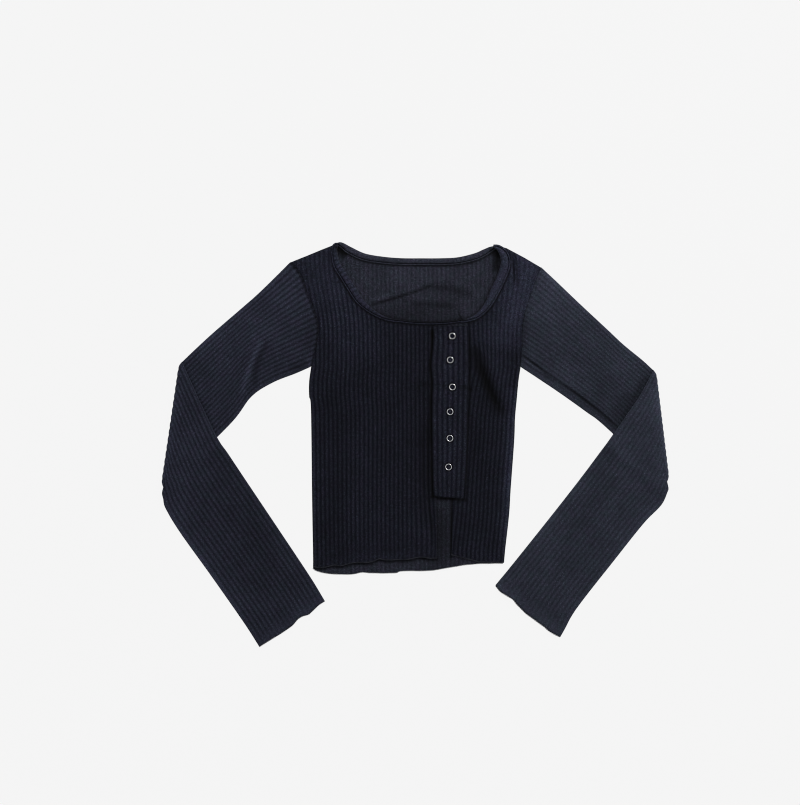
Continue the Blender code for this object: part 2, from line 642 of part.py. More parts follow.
def section(width, ribs, plain):
    """Points round a flattened tube: (share across, layer height from 0 to 1, rib, round).

    The loop runs over the upper layer from edge a to edge b and back under the lower one.
    "round" is the share round the loop, by which an outer and an inner loop are matched.
    """
    edge = TUBE / 2
    loop = []
    for layer, count in enumerate(ribs):
        inset = edge if not plain else WALL + 0.6
        number = 2 * count if not plain else count
        shares = np.linspace(inset, width - inset, number + 1) / width
        if layer:
            shares = shares[::-1]
        height = 1.0 - layer
        if plain:
            tip = WALL / width
            loop.append((tip if not layer else 1 - tip, 0.5, 0.0, 0.5 * layer))
        else:
            for angle, around in ((0.0, 0.0), (45.0, ROUND_SHARE)):
                back, lift = rounded(angle, edge / width, layer)
                loop.append((back if not layer else 1 - back, lift, 0.0, 0.5 * layer + around))
        for step, share in enumerate(shares):
            rib = float(step % 2) if not plain else 0.0
            along = share if not layer else 1 - share
            loop.append((share, height, rib, 0.5 * (layer + np.clip(along, *EDGE_SHARES))))
        if not plain:
            back, lift = rounded(45.0, edge / width, layer)
            loop.append((1 - back if not layer else back, lift, 0.0,
                         0.5 * (layer + 1) - ROUND_SHARE))
    return loop


def make_sleeve(name, stations, armhole, cuff, finish):
    rings = []
    hole = curve(armhole, 2.0)
    hole_shares = np.linspace(0, 1, len(hole))
    chord = hole[0] + (hole[-1] - hole[0]) * hole_shares[:, None]
    bend = hole - chord
    cuff_shares = [wave.share for wave in cuff]
    cuff_out = [wave.out for wave in cuff]

    elbow = next(station for station in stations if station.where == "fold")
    above = next(station for station in stations if station.where == "middle")
    fold_way = np.array([elbow.b_x - elbow.a_x, elbow.b_y - elbow.a_y])
    fold_way /= np.linalg.norm(fold_way)
    outward = np.array([-fold_way[1], fold_way[0]])
    if outward @ np.array([elbow.a_x, 0.0]) < 0:
        outward = -outward
    centre = (TUBE + FOLD_GAP) / 2 + TUBE / 2        # height of the fold's axis

    edge_start = np.array([above.b_x, above.b_y])
    edge_way = np.array([elbow.b_x, elbow.b_y]) - edge_start
    edge_way /= np.linalg.norm(edge_way)
    past_edge = np.array([-edge_way[1], edge_way[0]])
    if past_edge[1] > 0:
        past_edge = -past_edge

    def height(station, share, level, rib, upper, lower, wall):
        """The unfolded height: 0 at the lower layer's valleys, TUBE at the upper one's."""
        crown = station.crown * math.sin(math.pi * min(max(share, 0.0), 1.0)) ** 0.6
        if level >= 0.5:
            blend = (level - 0.5) * 2
            full = TUBE - wall + (crown + RIB_HEIGHT * rib) * upper
        else:
            blend = (0.5 - level) * 2
            full = wall - (crown + RIB_HEIGHT * rib) * lower
        return TUBE / 2 + (full - TUBE / 2) * blend

    def ring(station, loop, upper, lower, wall, turn=None):
        a, b = np.array([station.a_x, station.a_y]), np.array([station.b_x, station.b_y])
        points = []
        for share, level, rib, _ in loop:
            plan = a + (b - a) * share
            for axis in range(2):
                plan[axis] += station.bow * np.interp(share, hole_shares, bend[:, axis])
            z = height(station, share, level, rib, upper, lower, wall)
            if station.where == "cuff":
                plan += cuff_way * np.interp(share, cuff_shares, cuff_out)
            if turn is not None:
                plan += outward * (centre - z) * math.sin(turn)
                z = centre - (centre - z) * math.cos(turn)
            elif station.where in ("fore", "cuff"):
                past = (plan - edge_start) @ past_edge
                drop = float(smoothstep((past - DROP_START) / DROP_LENGTH))
                z = 2 * centre - z - (TUBE + FOLD_GAP) * drop
            points.append((plan[0], plan[1], z))
        return points

    last, before = stations[-1], stations[-2]
    cuff_way = np.array([last.a_x + last.b_x - before.a_x - before.b_x,
                         last.a_y + last.b_y - before.a_y - before.b_y])
    cuff_way /= np.linalg.norm(cuff_way)

    plan_rows = []
    seen_fold = False
    for station in stations:
        if station.where == "fold":
            seen_fold = True
            for step in range(FOLD_STEPS + 1):
                turn = math.pi * step / FOLD_STEPS
                plan_rows.append((station, 0.0, math.sin(turn / 2) ** 2, turn))
        else:
            plan_rows.append((station, 0.0 if seen_fold else 1.0, 1.0 if seen_fold else 0.0, None))

    for station, upper, lower, turn in plan_rows:
        width = math.dist((station.a_x, station.a_y), (station.b_x, station.b_y))
        outer = section(width, (SLEEVE_RIBS_UPPER, SLEEVE_RIBS_FORE), plain=False)
        inner = section(width, (INNER_STEPS, INNER_STEPS), plain=True)
        rings.append((ring(station, outer, upper, lower, 0.0, turn),
                      ring(station, inner, upper, lower, WALL, turn),
                      [row[3] for row in outer], [row[3] for row in inner]))

    points, faces = [], []
    outer_starts, inner_starts = [], []
    for outer, inner, _, _ in rings:
        outer_starts.append(len(points))
        points.extend(outer)
        inner_starts.append(len(points))
        points.extend(inner)
    for starts, size, flip in ((outer_starts, len(rings[0][0]), False),
                               (inner_starts, len(rings[0][1]), True)):
        for a, b in zip(starts, starts[1:]):
            for i in range(size):
                j = (i + 1) % size
                quad = (a + i, a + j, b + j, b + i)
                faces.append(quad[::-1] if flip else quad)
    for number, flip in ((0, True), (-1, False)):
        outer_loop = [(share, outer_starts[number] + i) for i, share in enumerate(rings[number][2])]
        inner_loop = [(share, inner_starts[number] + i) for i, share in enumerate(rings[number][3])]
        rim = zip_loops(outer_loop, inner_loop)
        faces.extend(face[::-1] if flip else face for face in rim)
    add_object(name, points, faces, finish)


# ---- assembly ---------------------------------------------------------------------------
def centre_on_origin():
    """Puts the middle of the garment's footprint over the origin."""
    low = np.full(2, np.inf)
    high = -low
    for piece in bpy.data.objects:
        for vertex in piece.data.vertices:
            low = np.minimum(low, vertex.co[:2])
            high = np.maximum(high, vertex.co[:2])
    shift = (low + high) / 2
    for piece in bpy.data.objects:
        for vertex in piece.data.vertices:
            vertex.co.x -= shift[0]
            vertex.co.y -= shift[1]


def main():
    for leftover in list(bpy.data.objects):
        bpy.data.objects.remove(leftover, do_unlink=True)
    knit = material("rib_knit", (0.012, 0.013, 0.019), 0.85)
    knit_inside = material("rib_knit_inside", (0.014, 0.015, 0.021), 0.9)
    metal = material("snap_metal", (0.72, 0.73, 0.75), 0.28, 1.0)
    make_body(knit, knit_inside)
    make_band("binding_right", BAND_RIGHT, FRONT_UNDER, knit)
    make_band("binding_left", BAND_LEFT, FRONT_UNDER, knit)
    make_band("binding_back", BAND_BACK, 0.0, knit)
    make_placket(knit, metal)
    make_sleeve("sleeve_right", SLEEVE_RIGHT, ARMHOLE_RIGHT, CUFF_RIGHT, knit)
    make_sleeve("sleeve_left", SLEEVE_LEFT, ARMHOLE_LEFT, CUFF_LEFT, knit)
    centre_on_origin()


main()
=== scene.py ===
"""The looks of a cropped rib-knit cardigan with ring snaps, laid flat on its back.

Tables are in millimetres, in the frame that the garment was measured in; placed() turns
them into metres in the part's frame. X runs to the viewer's right across the chest, Y from
hem to neck, Z up. "right" and "left" are the wearer's, so the right half lies at -X.
"""
import math
from collections import namedtuple

import bpy
import numpy as np
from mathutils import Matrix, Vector
from mathutils.geometry import delaunay_2d_cdt


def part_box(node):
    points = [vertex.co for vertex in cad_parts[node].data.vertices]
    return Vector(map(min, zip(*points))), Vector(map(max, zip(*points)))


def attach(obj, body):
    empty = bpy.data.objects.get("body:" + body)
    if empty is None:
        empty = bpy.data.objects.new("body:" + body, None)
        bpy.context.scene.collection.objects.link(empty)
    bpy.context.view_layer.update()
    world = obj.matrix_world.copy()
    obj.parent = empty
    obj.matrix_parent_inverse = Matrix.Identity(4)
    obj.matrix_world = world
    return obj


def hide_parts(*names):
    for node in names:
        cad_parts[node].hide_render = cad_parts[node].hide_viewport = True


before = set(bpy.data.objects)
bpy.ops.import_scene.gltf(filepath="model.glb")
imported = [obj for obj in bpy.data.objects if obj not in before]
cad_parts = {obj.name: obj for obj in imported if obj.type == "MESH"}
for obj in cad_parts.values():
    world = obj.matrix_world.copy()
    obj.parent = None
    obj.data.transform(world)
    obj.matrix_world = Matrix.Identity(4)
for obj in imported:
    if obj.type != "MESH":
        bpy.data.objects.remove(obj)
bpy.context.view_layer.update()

MM = 0.001
TAU = 2 * math.pi

# ---- cloth ------------------------------------------------------------------------------
WALL = 1.3               # one layer of rib knit, measured in a valley
RIB_HEIGHT = 0.75        # how far a rib stands above the valleys beside it
RIB_PITCH = 6.05
RIB_FULLNESS = 1.5       # over 1 the crests are broad and the valleys narrow
RIB_START = 3.0          # the ribs are at their full height this far in from a cut edge
BACK_WALL = 1.2
BACK_RIB = 0.39          # the back, seen from its inside, has flatter ribs
EDGE_ROUND = 1.1         # how far in from a cut edge the cloth is rounded
SEAM_DIP = 1.1           # how far the cloth sinks into a seam
SEAM_DIP_REACH = 2.2

FRONT_UNDER = 1.6        # the fronts lie on the back
FRONT_LOWEST = 0.5       # and are nowhere lower than this
FRONT_TOP = FRONT_UNDER + WALL
STRIP_UNDER = FRONT_TOP + 0.3
STRIP_TOP = STRIP_UNDER + WALL

PUFF = 3.0               # how far the fronts rise off the back between their edges
PUFF_REACH = 32.0
PUFF_ROUND = 0.8         # under 1 they rise faster at first
PUFF_CLEAR = 2.0         # they stay down this far from the placket

STRIP_PLAIN = 0.5        # the fronts' ribs start this far from the placket
STRIP_PLAIN_REACH = 2.5
FOLD_COVERED = 1.0       # and their folds end this far in under it
HEM_RIB = 0.25           # the share of the ribs' height that is left at a front's hem
HEM_RIB_REACH = 7.0
FRONT_FLUTTER = (6.0, 1.3)     # how far in the hem flutters, and how high
BACK_FLUTTER = (5.0, 0.7)
FLUTTER_MEAN = 0.55

# ---- mesh -------------------------------------------------------------------------------
PER_RIB = 8              # points across one rib
ROW_STEP = 2.6           # points along a rib
BACK_STEP = 2.4
EDGE_STEP = 1.6          # points along a cut edge
COARSE_STEP = 11.0       # points on a face that is covered
STRIP_SPACING = 5.0      # the same on the placket, which is narrow
CURVE_STEPS = 24         # points worked out between two rows of a curve
GUIDE_STEP = 3.0         # points on a line that only distances are taken to
COARSE_GUIDE = 6.0
LONG_LINE = 60           # a line of this many points is measured roughly first
ROUGH_STRIDE = 8
EXACT_WITHIN = 14.0
RIM_INSETS = (0.25, 0.6, EDGE_ROUND, 1.7)      # lines of points inside a cut edge
RIM_CLEAR = 2.4          # the ribs' points start this far in
LOWER_INSETS = (0.35, EDGE_ROUND)
INSET_SLACK = 0.93       # a line's points that come nearer the edge than this are left out
PROBE = 0.2              # a step that shows which side of an outline is its inside
MERGE_WITHIN = 0.003
SWAY_ROUNDS = 4          # rounds in which the number of a pushed rib is found
HIDDEN_WITHIN = 7.0      # the back's points are hidden this far in under a front
SPARSE = 23              # and one in this many of them is kept

# ---- rows -------------------------------------------------------------------------------
Place = namedtuple("Place", "x y")
Band = namedtuple("Band", "x y width")
Spread = namedtuple("Spread", "share start reach")
Sway = namedtuple("Sway", "x y reach_x reach_y push")
Flutter = namedtuple("Flutter", "length amount phase")
Station = namedtuple("Station", "where a_x a_y b_x b_y bow crown")
Wave = namedtuple("Wave", "share out")
Fold = namedtuple("Fold", "x0 y0 x1 y1 bend width height")
# A streak along a bowed line: how much lighter or darker it is painted as light and shade; the
# soft tables use it for how far the painted valley shade fades.
Tone = namedtuple("Tone", "x0 y0 x1 y1 bend width light")


def table(kind, *rows):
    """Rows whose columns have the names of their kind."""
    return [kind(*row) for row in rows]


# ---- body -------------------------------------------------------------------------------
NECK_CORNER_RIGHT = table(       # of the back
    Place, (-110.6, 277.2), (-114.5, 278.4))
NECK_CORNER_LEFT = table(
    Place, (119.2, 276.2), (114.6, 276.4))
NECK_TOP_RIGHT = 275.0     # the fronts end here, under the tips of the bands
NECK_TOP_LEFT = 270.5
SHOULDER_RIGHT = table(
    Place, (-153.3, 262.5), (-131, 271.8))
SHOULDER_LEFT = table(
    Place, (127.4, 273.8), (149.6, 262))

ARMHOLE_RIGHT = table(       # shoulder point down to the underarm
    Place, (-175.7, 253.5), (-161.7, 237), (-152.7, 213), (-143.9, 190.4), (-138, 174),
    (-136.3, 158), (-139.5, 138), (-146.3, 107.3))
ARMHOLE_LEFT = table(
    Place, (176.4, 246.2), (167.8, 225), (159.6, 201), (153.3, 180), (150, 158), (149.8, 134),
    (147.3, 106.8))

SIDE_RIGHT = table(       # underarm down to the hem
    Place, (-146.3, 107.3), (-149.1, 86), (-149, 66), (-146.5, 46), (-144.9, -79),
    (-143.5, -163))
SIDE_LEFT = table(
    Place, (147.3, 106.8), (144.4, 88), (141.9, 61), (139.6, 36), (138.4, 4), (133.4, -65),
    (131.2, -100), (125.6, -150))

HEM_FRONT_RIGHT = table(       # the hem waves like a lettuce edge
    Place, (-143.1, -172), (-133.8, -173.6), (-122, -172), (-114, -170.2), (-103.6, -170.6),
    (-87.5, -166.8), (-63, -165.8), (-50.3, -161.2), (-41, -162.9), (-10.8, -161.8),
    (7.7, -158.9), (20, -160.5), (29.6, -160.3))
HEM_FRONT_LEFT = table(
    Place, (50.3, -155.5), (59.5, -158), (77, -162.5), (94.4, -165.8), (124, -166.4))
HEM_BACK = table(
    Place, (-143.6, -174.4), (-138.6, -178.2), (-121, -182.2), (-90, -182.9), (-75, -180.2),
    (-61, -181.2), (-29, -181.1), (-19, -178.4), (20, -177.8), (52.5, -172.6), (82.5, -168.6),
    (122.6, -167.6))

BACK_RIBS = (-26, 28)      # the numbers of the back's outer ribs
FRONT_EDGE_X = 29.8
FRONT_GAP = 0.3
UNDERLAP_CORNER = 3.0
UNDERLAP_TOP = 164.4
UNDERLAP_FOOT = -72.0
SLIT = table(
    Place, (52.5, -78), (51.2, -120))

SPREAD_RIGHT = Spread(0.085, 152.0, 108.0)     # the ribs fan out towards the shoulders
SPREAD_LEFT = Spread(0.165, 145.0, 110.0)

# The ribs of the fronts are pushed sideways here and there.
SWAYS = table(
    Sway,
    (86, 108, 16, 36, 4.2),
    (17, -138, 16, 48, 4.6),
    (-60, 40, 46, 90, 1.6),
    (108, -40, 22, 60, -1.6))

FLUTTER = table(       # the waves of a lettuce hem
    Flutter, (31, 1, 0), (19, 0.6, 1.3))

# ---- wound thread -----------------------------------------------------------------------
WIND_PITCH = 1.5
WIND_RADIUS = 0.85
WIND_THREAD = 0.33         # the thread's own radius
WIND_POINTS = 9            # points along one turn
WIND_SIDES = 5

# ---- neck binding -----------------------------------------------------------------------
BAND_RIGHT = table(
    Band, (-109.4, 280.2, 3.2), (-110.8, 278.8, 6.2), (-113, 275.6, 8.4), (-114.2, 271, 9),
    (-113.4, 262, 10.6), (-110.4, 249.5, 11.6), (-101, 234.7, 12.4), (-90.9, 218.6, 12.6),
    (-80.3, 201.9, 11.6), (-67.2, 188.9, 9.2), (-52.7, 179.3, 6.8), (-38, 173.4, 5.4),
    (-20, 170.8, 4.6), (-4, 168.8, 4.2), (24.5, 167.8, 4.2), (50, 169.4, 4.2),
    (64.6, 171.4, 4.4))
BAND_LEFT = table(
    Band, (64, 170.2, 4.2), (73.6, 172.4, 5.6), (87.5, 178.6, 7.8), (101.5, 193.8, 10.8),
    (111.5, 213.2, 13.2), (121, 234, 14), (126.2, 250, 14.6), (125.6, 261, 13.8),
    (121.8, 268.8, 11.6), (115.8, 274.6, 7.8), (108.8, 276.6, 4.6))
BAND_BACK = table(
    Band, (-110, 279.4, 4), (-106, 278.4, 8), (-101, 275.6, 9.8), (-92, 269.8, 11.4),
    (-72, 260.8, 11.4), (-46, 256.4, 11), (-20, 254.4, 10.8), (8, 254.2, 10.8), (36, 254.2, 11),
    (60, 255.6, 11), (84, 261.2, 11.2), (97, 267, 10.6), (105, 271.4, 8.8), (110.4, 273.6, 6.4),
    (114, 274.6, 5))
BAND_HEIGHT = 3.0
BAND_RIB_PITCH = 6.4
BAND_RIB = 0.28
BAND_OVERLAP = 0.4       # the panels run this far under the bands
BAND_STEP = 0.8
SEAM_LEDGE = 0.9         # the dark gap between a panel and the roll of its seam
SEAM_ROLL = 1.7          # the rolled seam allowance along a band's sewn side
SEAM_ROLL_HEIGHT = 2.5
SEAM_GROOVE = 0.7        # height of the groove between the roll and the band
SEAM_GROOVE_WIDTH = 0.9
SEAM_ROLL_SHARE = 0.45   # of a narrow band's width, at most
SEAM_ROLL_ANGLES = (165, 130, 90, 50, 15)    # round the roll, in degrees
SEAM_ROLL_FEET = (165, 15)
# Painted shade in the seam's ledge and groove and at the roll's feet, and a little on its top.
SEAM_DARK = -1.9
SEAM_ROLL_FOOT = 0.6 * SEAM_DARK
SEAM_ROLL_TOP = -0.1
SEAM_CLEAR = 0.3         # the shade beside a seam lies this far out
SEAM_ROLL_ROUND = 0.6    # under 1 the roll is fuller than a circle
BAND_POINTS = 14         # points over a band's face
BAND_FLAT = 2.6          # over 2 the face is flat in its middle
BAND_ROUND = 0.55        # under 1 its sides are steep
BAND_MEAN = 0.6          # ribs higher than this share are painted lighter, the others darker
PLAIN_BAND = 0.3         # a rib number whose shade is between crest and valley
BAND_TURNED = -1.6       # where a band is narrow it is turned on edge, its face in shade
BAND_TURNED_WIDTH = 6.4

# ---- placket ----------------------------------------------------------------------------
STRIP_LEFT = table(       # sewn edge, top to bottom
    Place, (23.4, 164.8), (24.6, 141), (22, 110), (24, 82), (22.8, 50), (24.2, -50),
    (25.6, -74))
STRIP_RIGHT = table(       # free edge, bottom to top
    Place, (68.4, -77.8), (70.2, -50), (72.8, 0), (73.4, 50), (74.4, 80), (74.9, 110),
    (73.6, 165.2))
STRIP_RIBS = 7
STRIP_POINTS = 10          # points across one of its ribs
STRIP_STEP = 1.8           # and along it
SNAPS = table(
    Place, (51.5, 150.5), (48.6, 117), (51.7, 79.1), (48.4, 44.4), (48.2, 7.3), (46.3, -32.8))
SNAP_OUTER = 4.65
SNAP_INNER = 3.52
SNAP_HEIGHT = 1.4
SNAP_PRESS = 6.2           # the ribs are pressed flat this far round a snap
SNAP_BASE = STRIP_TOP + 0.05
SNAP_SIDE = 0.5            # height of the ring's upright side
SNAP_BEVEL = 0.15
SNAP_FOOT = 0.1
SNAP_ROUND = 0.8           # under 1 its face is fuller than a circle
SNAP_TURNS = 56
SNAP_RADII = (0.5, 1.0, 1.6, 2.3, 3.2, 4.6, 5.4, 6.2, 7.0)     # circles of points round it
SNAP_DOME = 0.9            # the cloth stands up in the ring's hole
SNAP_DOME_REACH = 1.5
PRESSED_RIM = 0.35         # and round the place that is pressed flat
PRESSED_REACH = 3.0
SNAP_FLAT = 0.4            # the ribs end this far in under the ring
SNAP_FLAT_REACH = 2.2
STRIP_SUNK = 0.2

# ---- sleeves ----------------------------------------------------------------------------
TUBE = 3.2                 # two walls and the thin hollow between them
FOLD_GAP = 1.2             # clearance between the two arms of the fold
FOLD_AXIS = (TUBE + FOLD_GAP) / 2 + TUBE / 2     # its height
FOLD_STEPS = 14
DROP_START = 8.0           # past the upper arm's lower edge the forearm comes down
DROP_LENGTH = 24.0
SLEEVE_RIBS_UPPER = 20
SLEEVE_RIBS_FORE = 17
SLEEVE_STEP = 2.6
SLEEVE_DIP = 1.7           # how far the sleeve's top sinks into the armhole seam
ARMHOLE_OVERLAP = 1.0      # how far the sleeve's mouth goes in under the body's edge
ELBOW_ROUND = 13.0         # the fold's round is fuller this far in from its two corners
EDGE_SHARES = (0.15, 0.33, 0.5, 0.67, 0.85)       # points round a tube's edge
INNER_POINTS = (14, 14)    # points on the two layers of its inner face
INNER_EDGE = 0.55          # how much less round the inner face's edges are, per wall
INNER_CREASE = 0.9         # the share of a crease that it follows
HOLE_REACH = 1.8           # the armhole seam sinks in over this length
HOLE_RIB_REACH = 2.5       # and the ribs start over this one
CREASE_CLEAR = 12.0        # the creases end this far from the cuff
PLAIN_A = 1.0              # the ribs start this far in from the tube's edge a
PLAIN_A_UPPER = 3.0        # and reach their height over this much on the upper arm
PLAIN_A_FORE = 5.0         # and this much on the forearm
PLAIN_B = 1.5              # the same at edge b
PLAIN_B_REACH = 8.0
PLAIN_EDGE = 0.34          # a rib number whose shade is between crest and valley
CUFF_RIB = 0.1             # the share of the ribs' height that is left at the cuff
CUFF_RIB_REACH = 15.0
CUFF_REACH = 14.0          # the cuff waves up to this far from its end
CUFF_OUT_REACH = 7.0
CUFF_RISE = 1.1
CUFF_RISE_UPPER = 0.35     # the layer that lies underneath rises less
CUFF_RISE_REACH = 5.0
CUFF_WAVE = 24.0           # length of one wave round the cuff
CUFF_WAVE_SHIFT = 1.7
CUFF_LIGHT = 0.3           # the cuffs are painted lighter, as their waves catch the light
CUFF_LIGHT_REACH = 9.0
CUFF_SOFT = 0.8            # and its ribs hardly show there
CUFF_SOFT_REACH = 13.0
UPPER_FADE = 0.6           # near the fold the upper arm's forms fade by this share
UPPER_FADE_REACH = 6.0
FORE_TURN = 1.2            # the forearm's forms start over this turn, in radians
CROWN_ROUND = 0.6          # under 1 a crown is broad
ELBOW_PINCH = 1.3          # over 1 the fold is drawn in at its corners
PLAIN_SHARE = 0.15         # ribs that stand up less than this share aren't shaded
TUBE_SHARE = 1.9           # a sleeve's area is at most this much of its width and length

SLEEVE_RIGHT = table(
    Station,
    ("armhole", -176, 253.6, -146.6, 107.4, 1, 0.3),
    ("cap", -198.4, 231.2, -168, 98, 0.45, 1.5),
    ("bicep", -222, 208.4, -200, 85.2, 0.15, 2),
    ("middle", -245, 188.3, -229.6, 65.8, 0, 0.9),
    ("bicep", -285, 153.7, -257, 30, 0, 0.8),
    ("bicep", -312, 128.7, -318, -30, 0, 0),
    ("fold", -326.6, 114.6, -352.6, -62, 0, 0),
    ("fore", -311, 80, -354.4, -67, 0, 0),
    ("fore", -294, 43, -354.6, -71.5, 0, 0.8),
    ("fore", -276, 6, -353.2, -77, 0, 1.3),
    ("fore", -262, -15, -349.6, -92, 0, 1.1),
    ("fore", -237.4, -52, -330, -124.6, 0, 1.7),
    ("fore", -193.6, -117.4, -286.2, -185.8, 0, 2),
    ("fore", -148, -186, -240.6, -251, 0, 1.5),
    ("cuff", -127.2, -220.2, -219.4, -284, 0, 0.8))
SLEEVE_LEFT = table(
    Station,
    ("armhole", 176.7, 246.4, 147.6, 106.9, 1, 0.3),
    ("cap", 199.8, 224.8, 171, 91.5, 0.5, 1.5),
    ("bicep", 228.4, 197.4, 203.6, 69.6, 0.2, 1.9),
    ("middle", 268.4, 160.1, 240, 43.6, 0, 1.6),
    ("bicep", 292, 138, 262, 27, 0, 0.8),
    ("bicep", 317.4, 117.2, 318, -25, 0, 0),
    ("fold", 332.8, 103, 351.8, -54, 0, 0),
    ("fore", 314, 68, 353.6, -60, 0, 0),
    ("fore", 295, 40, 354, -64, 0, 0.8),
    ("fore", 273, 8, 352.6, -68, 0, 1.3),
    ("fore", 258, -13, 344.2, -86.6, 0, 1.1),
    ("fore", 230.2, -50.2, 319.8, -112, 0, 1.7),
    ("fore", 189.4, -102.4, 279.4, -162.6, 0, 2),
    ("fore", 134.6, -171, 225.6, -231.6, 0, 1.5),
    ("cuff", 112.6, -197.6, 206.8, -265.4, 0, 0.8))
CUFF_RIGHT = table(
    Wave, (0, 0), (0.095, -0.4), (0.176, 1.3), (0.264, 2.7), (0.34, -0.4), (0.407, -0.8),
    (0.507, 2.3), (0.605, 2.6), (0.757, 1.9), (0.926, 0.9), (1, 0.6))
CUFF_LEFT = table(
    Wave, (0, 1), (0.05, 3), (0.1, 4.3), (0.19, 3.5), (0.27, 2.4), (0.34, 5.2), (0.5, 8.2),
    (0.65, 8.3), (0.77, 8.4), (0.84, 9.4), (0.93, 8.4), (1, 6.8))

# ---- folds and creases: a ridge where height is over 0, a trough where it is under ------
FOLDS_FRONT = table(
    Fold,
    (80, 144, 123, 38, -2.2, 5.5, -1.3),
    (88, 112, 116, 50, -0.5, 3.5, -1),
    (92, 134, 132, 40, 5, 6, 0.6),
    (70, 78, 80, 75, 0, 3, -0.9),
    (2, 82, 24, 82.5, 0, 3, -0.6),
    (-120, 96, -60, 62, 6, 16, 0.7),
    (-136, 40, -100, -60, 8, 14, -0.6),
    (-40, 10, -20, -120, -6, 18, 0.7),
    (-96, -40, -88, -150, 4, 13, 0.6),
    (-64, -60, -58, -155, 3, 11, -0.5),
    (8, 120, 12, 30, -3, 9, -0.6),
    (-95, 190, -70, 120, 5, 14, 0.6),
    (-134, 236, -118, 150, -4, 8, -0.5),
    (106, 0, 96, -120, 4, 12, 0.6),
    (82, 20, 80, -60, 3, 8, -0.6),
    (128, 190, 134, 110, 4, 8, -0.6),
    (135, 268, 138, 222, 1, 1.6, -1.3),
    (139.4, 268, 141.6, 222, 1, 1.5, -1.1),
    (16.8, 40, 18, -80, 0, 2, -0.8),
    (16, -60, 24, -150, 3, 5, -0.9))
FOLDS_STRIP = table(
    Fold,
    (24, 82.6, 70, 81, 2, 2.4, -0.55),
    (58, 100, 60, 60, 2, 3, -0.3),
    (40, -46, 44, -76, 0, 4, -0.3))
FOLDS_BACK = table(
    Fold,
    (-62, 198.6, 22, 225, -1.5, 2.6, 2),
    (-60, 196, 20, 221.5, -1.5, 1.5, -0.8),
    (10, 222, 76, 214, 4, 6, 0.8),
    (-34, 200, 60, 200, 3, 7, 0.9),
    (-84, 226, -40, 236, 2, 6, 0.5))
FOLDS_RIGHT_ARM = table(
    Fold,
    (-166, 132, -212, 168, -8, 9, -1),
    (-160, 120, -190, 118, 3, 5, -1),
    (-214, 142, -242, 66, -5, 4.5, 1.8),
    (-206, 142, -226, 80, -6, 4, -1.5),
    (-190, 205, -222, 160, 5, 10, 0.7),
    (-250, 150, -296, 96, 8, 12, 0.8),
    (-300, 20, -262, -64, 5, 12, 0.7),
    (-340, -90, -296, -150, -5, 10, -0.6),
    (-236, -90, -196, -160, 4, 11, 0.6),
    (-262, -180, -232, -232, -4, 9, 0.5))
FOLDS_LEFT_ARM = table(
    Fold,
    (178, 99, 281, 22.5, 4, 3, -1.3),
    (149, 125, 181, 100, 0, 2.2, -1.3),
    (149, 113, 162, 106, 0, 2, -0.9),
    (160, 128, 272, 48, -5, 6, 0.8),
    (186, 190, 250, 120, 6, 12, 0.7),
    (214, 196, 280, 128, 4, 8, -0.5),
    (300, 30, 268, -50, -5, 12, 0.7),
    (330, -80, 290, -140, 5, 10, -0.6),
    (220, -70, 180, -140, -4, 11, 0.6),
    (240, -150, 210, -205, 4, 9, 0.5))

# ---- painted light and shade: how much lighter or darker the cloth is painted, in doublings or halvings ------
# Painted shade: the fronts and the placket are painted darker all over.
FRONT_LIGHT = -0.95
STRIP_LIGHT = -0.62
STRIP_DARK = -3.2          # painted shadow on the front beside the placket's sewn edge
STRIP_DARK_REACH = 1.9
STRIP_DARK_OUT = 1.3
STRIP_DARK_TOP = 162.0     # it fades out at the neck
STRIP_DARK_FADE = 8.0
STRIP_DARK_UNEVEN = 0.2
STRIP_DARK_WAVES = (11.0, 29.0)
STRIP_EDGE_DARK = -1.0     # painted shade on the placket's own edges
STRIP_EDGE_REACH = 1.3
SNAP_SHADE = -1.3          # painted shadow round a snap
SNAP_SHADE_OUT = 0.9
SNAP_SHADE_REACH = 1.1
SNAP_CORE_LIGHT = 1.2      # painted highlight on the cloth's top in its hole
SNAP_CORE_REACH = 1.1
SNAP_CORE_DARK = -0.5      # and painted shade on the cloth round that
NECK_DARK = -1.3           # painted shade beside the neck bands' seams
NECK_DARK_REACH = 1.4      # on the fronts
NECK_DARK_BACK = 1.3       # on the back
NECK_FADE = 0.7            # the share of it that is lost towards the peaks
NECK_FADE_START = 235.0
NECK_FADE_REACH = 20.0
NECK_FOOT = 150.0          # the back shows in the neck above this, and at the hem below it
SCOOP_START = -50.0        # from here on the back is painted darker along the front of the scoop, as the band's shadow
SCOOP_DARK_REACH = 2.6
SIDE_DARK_REACH = 3.2      # and along its left side
# Painted shade along the armhole seams.
ARMHOLE_DARK = -0.5
ARMHOLE_DARK_REACH = 1.2
ARMHOLE_FOOT = 106.0
HEM_DARK = -2.0            # painted shadow on the back just below the right front's hem
HEM_DARK_REACH = 1.7
HEM_DARK_BELOW = 2.2
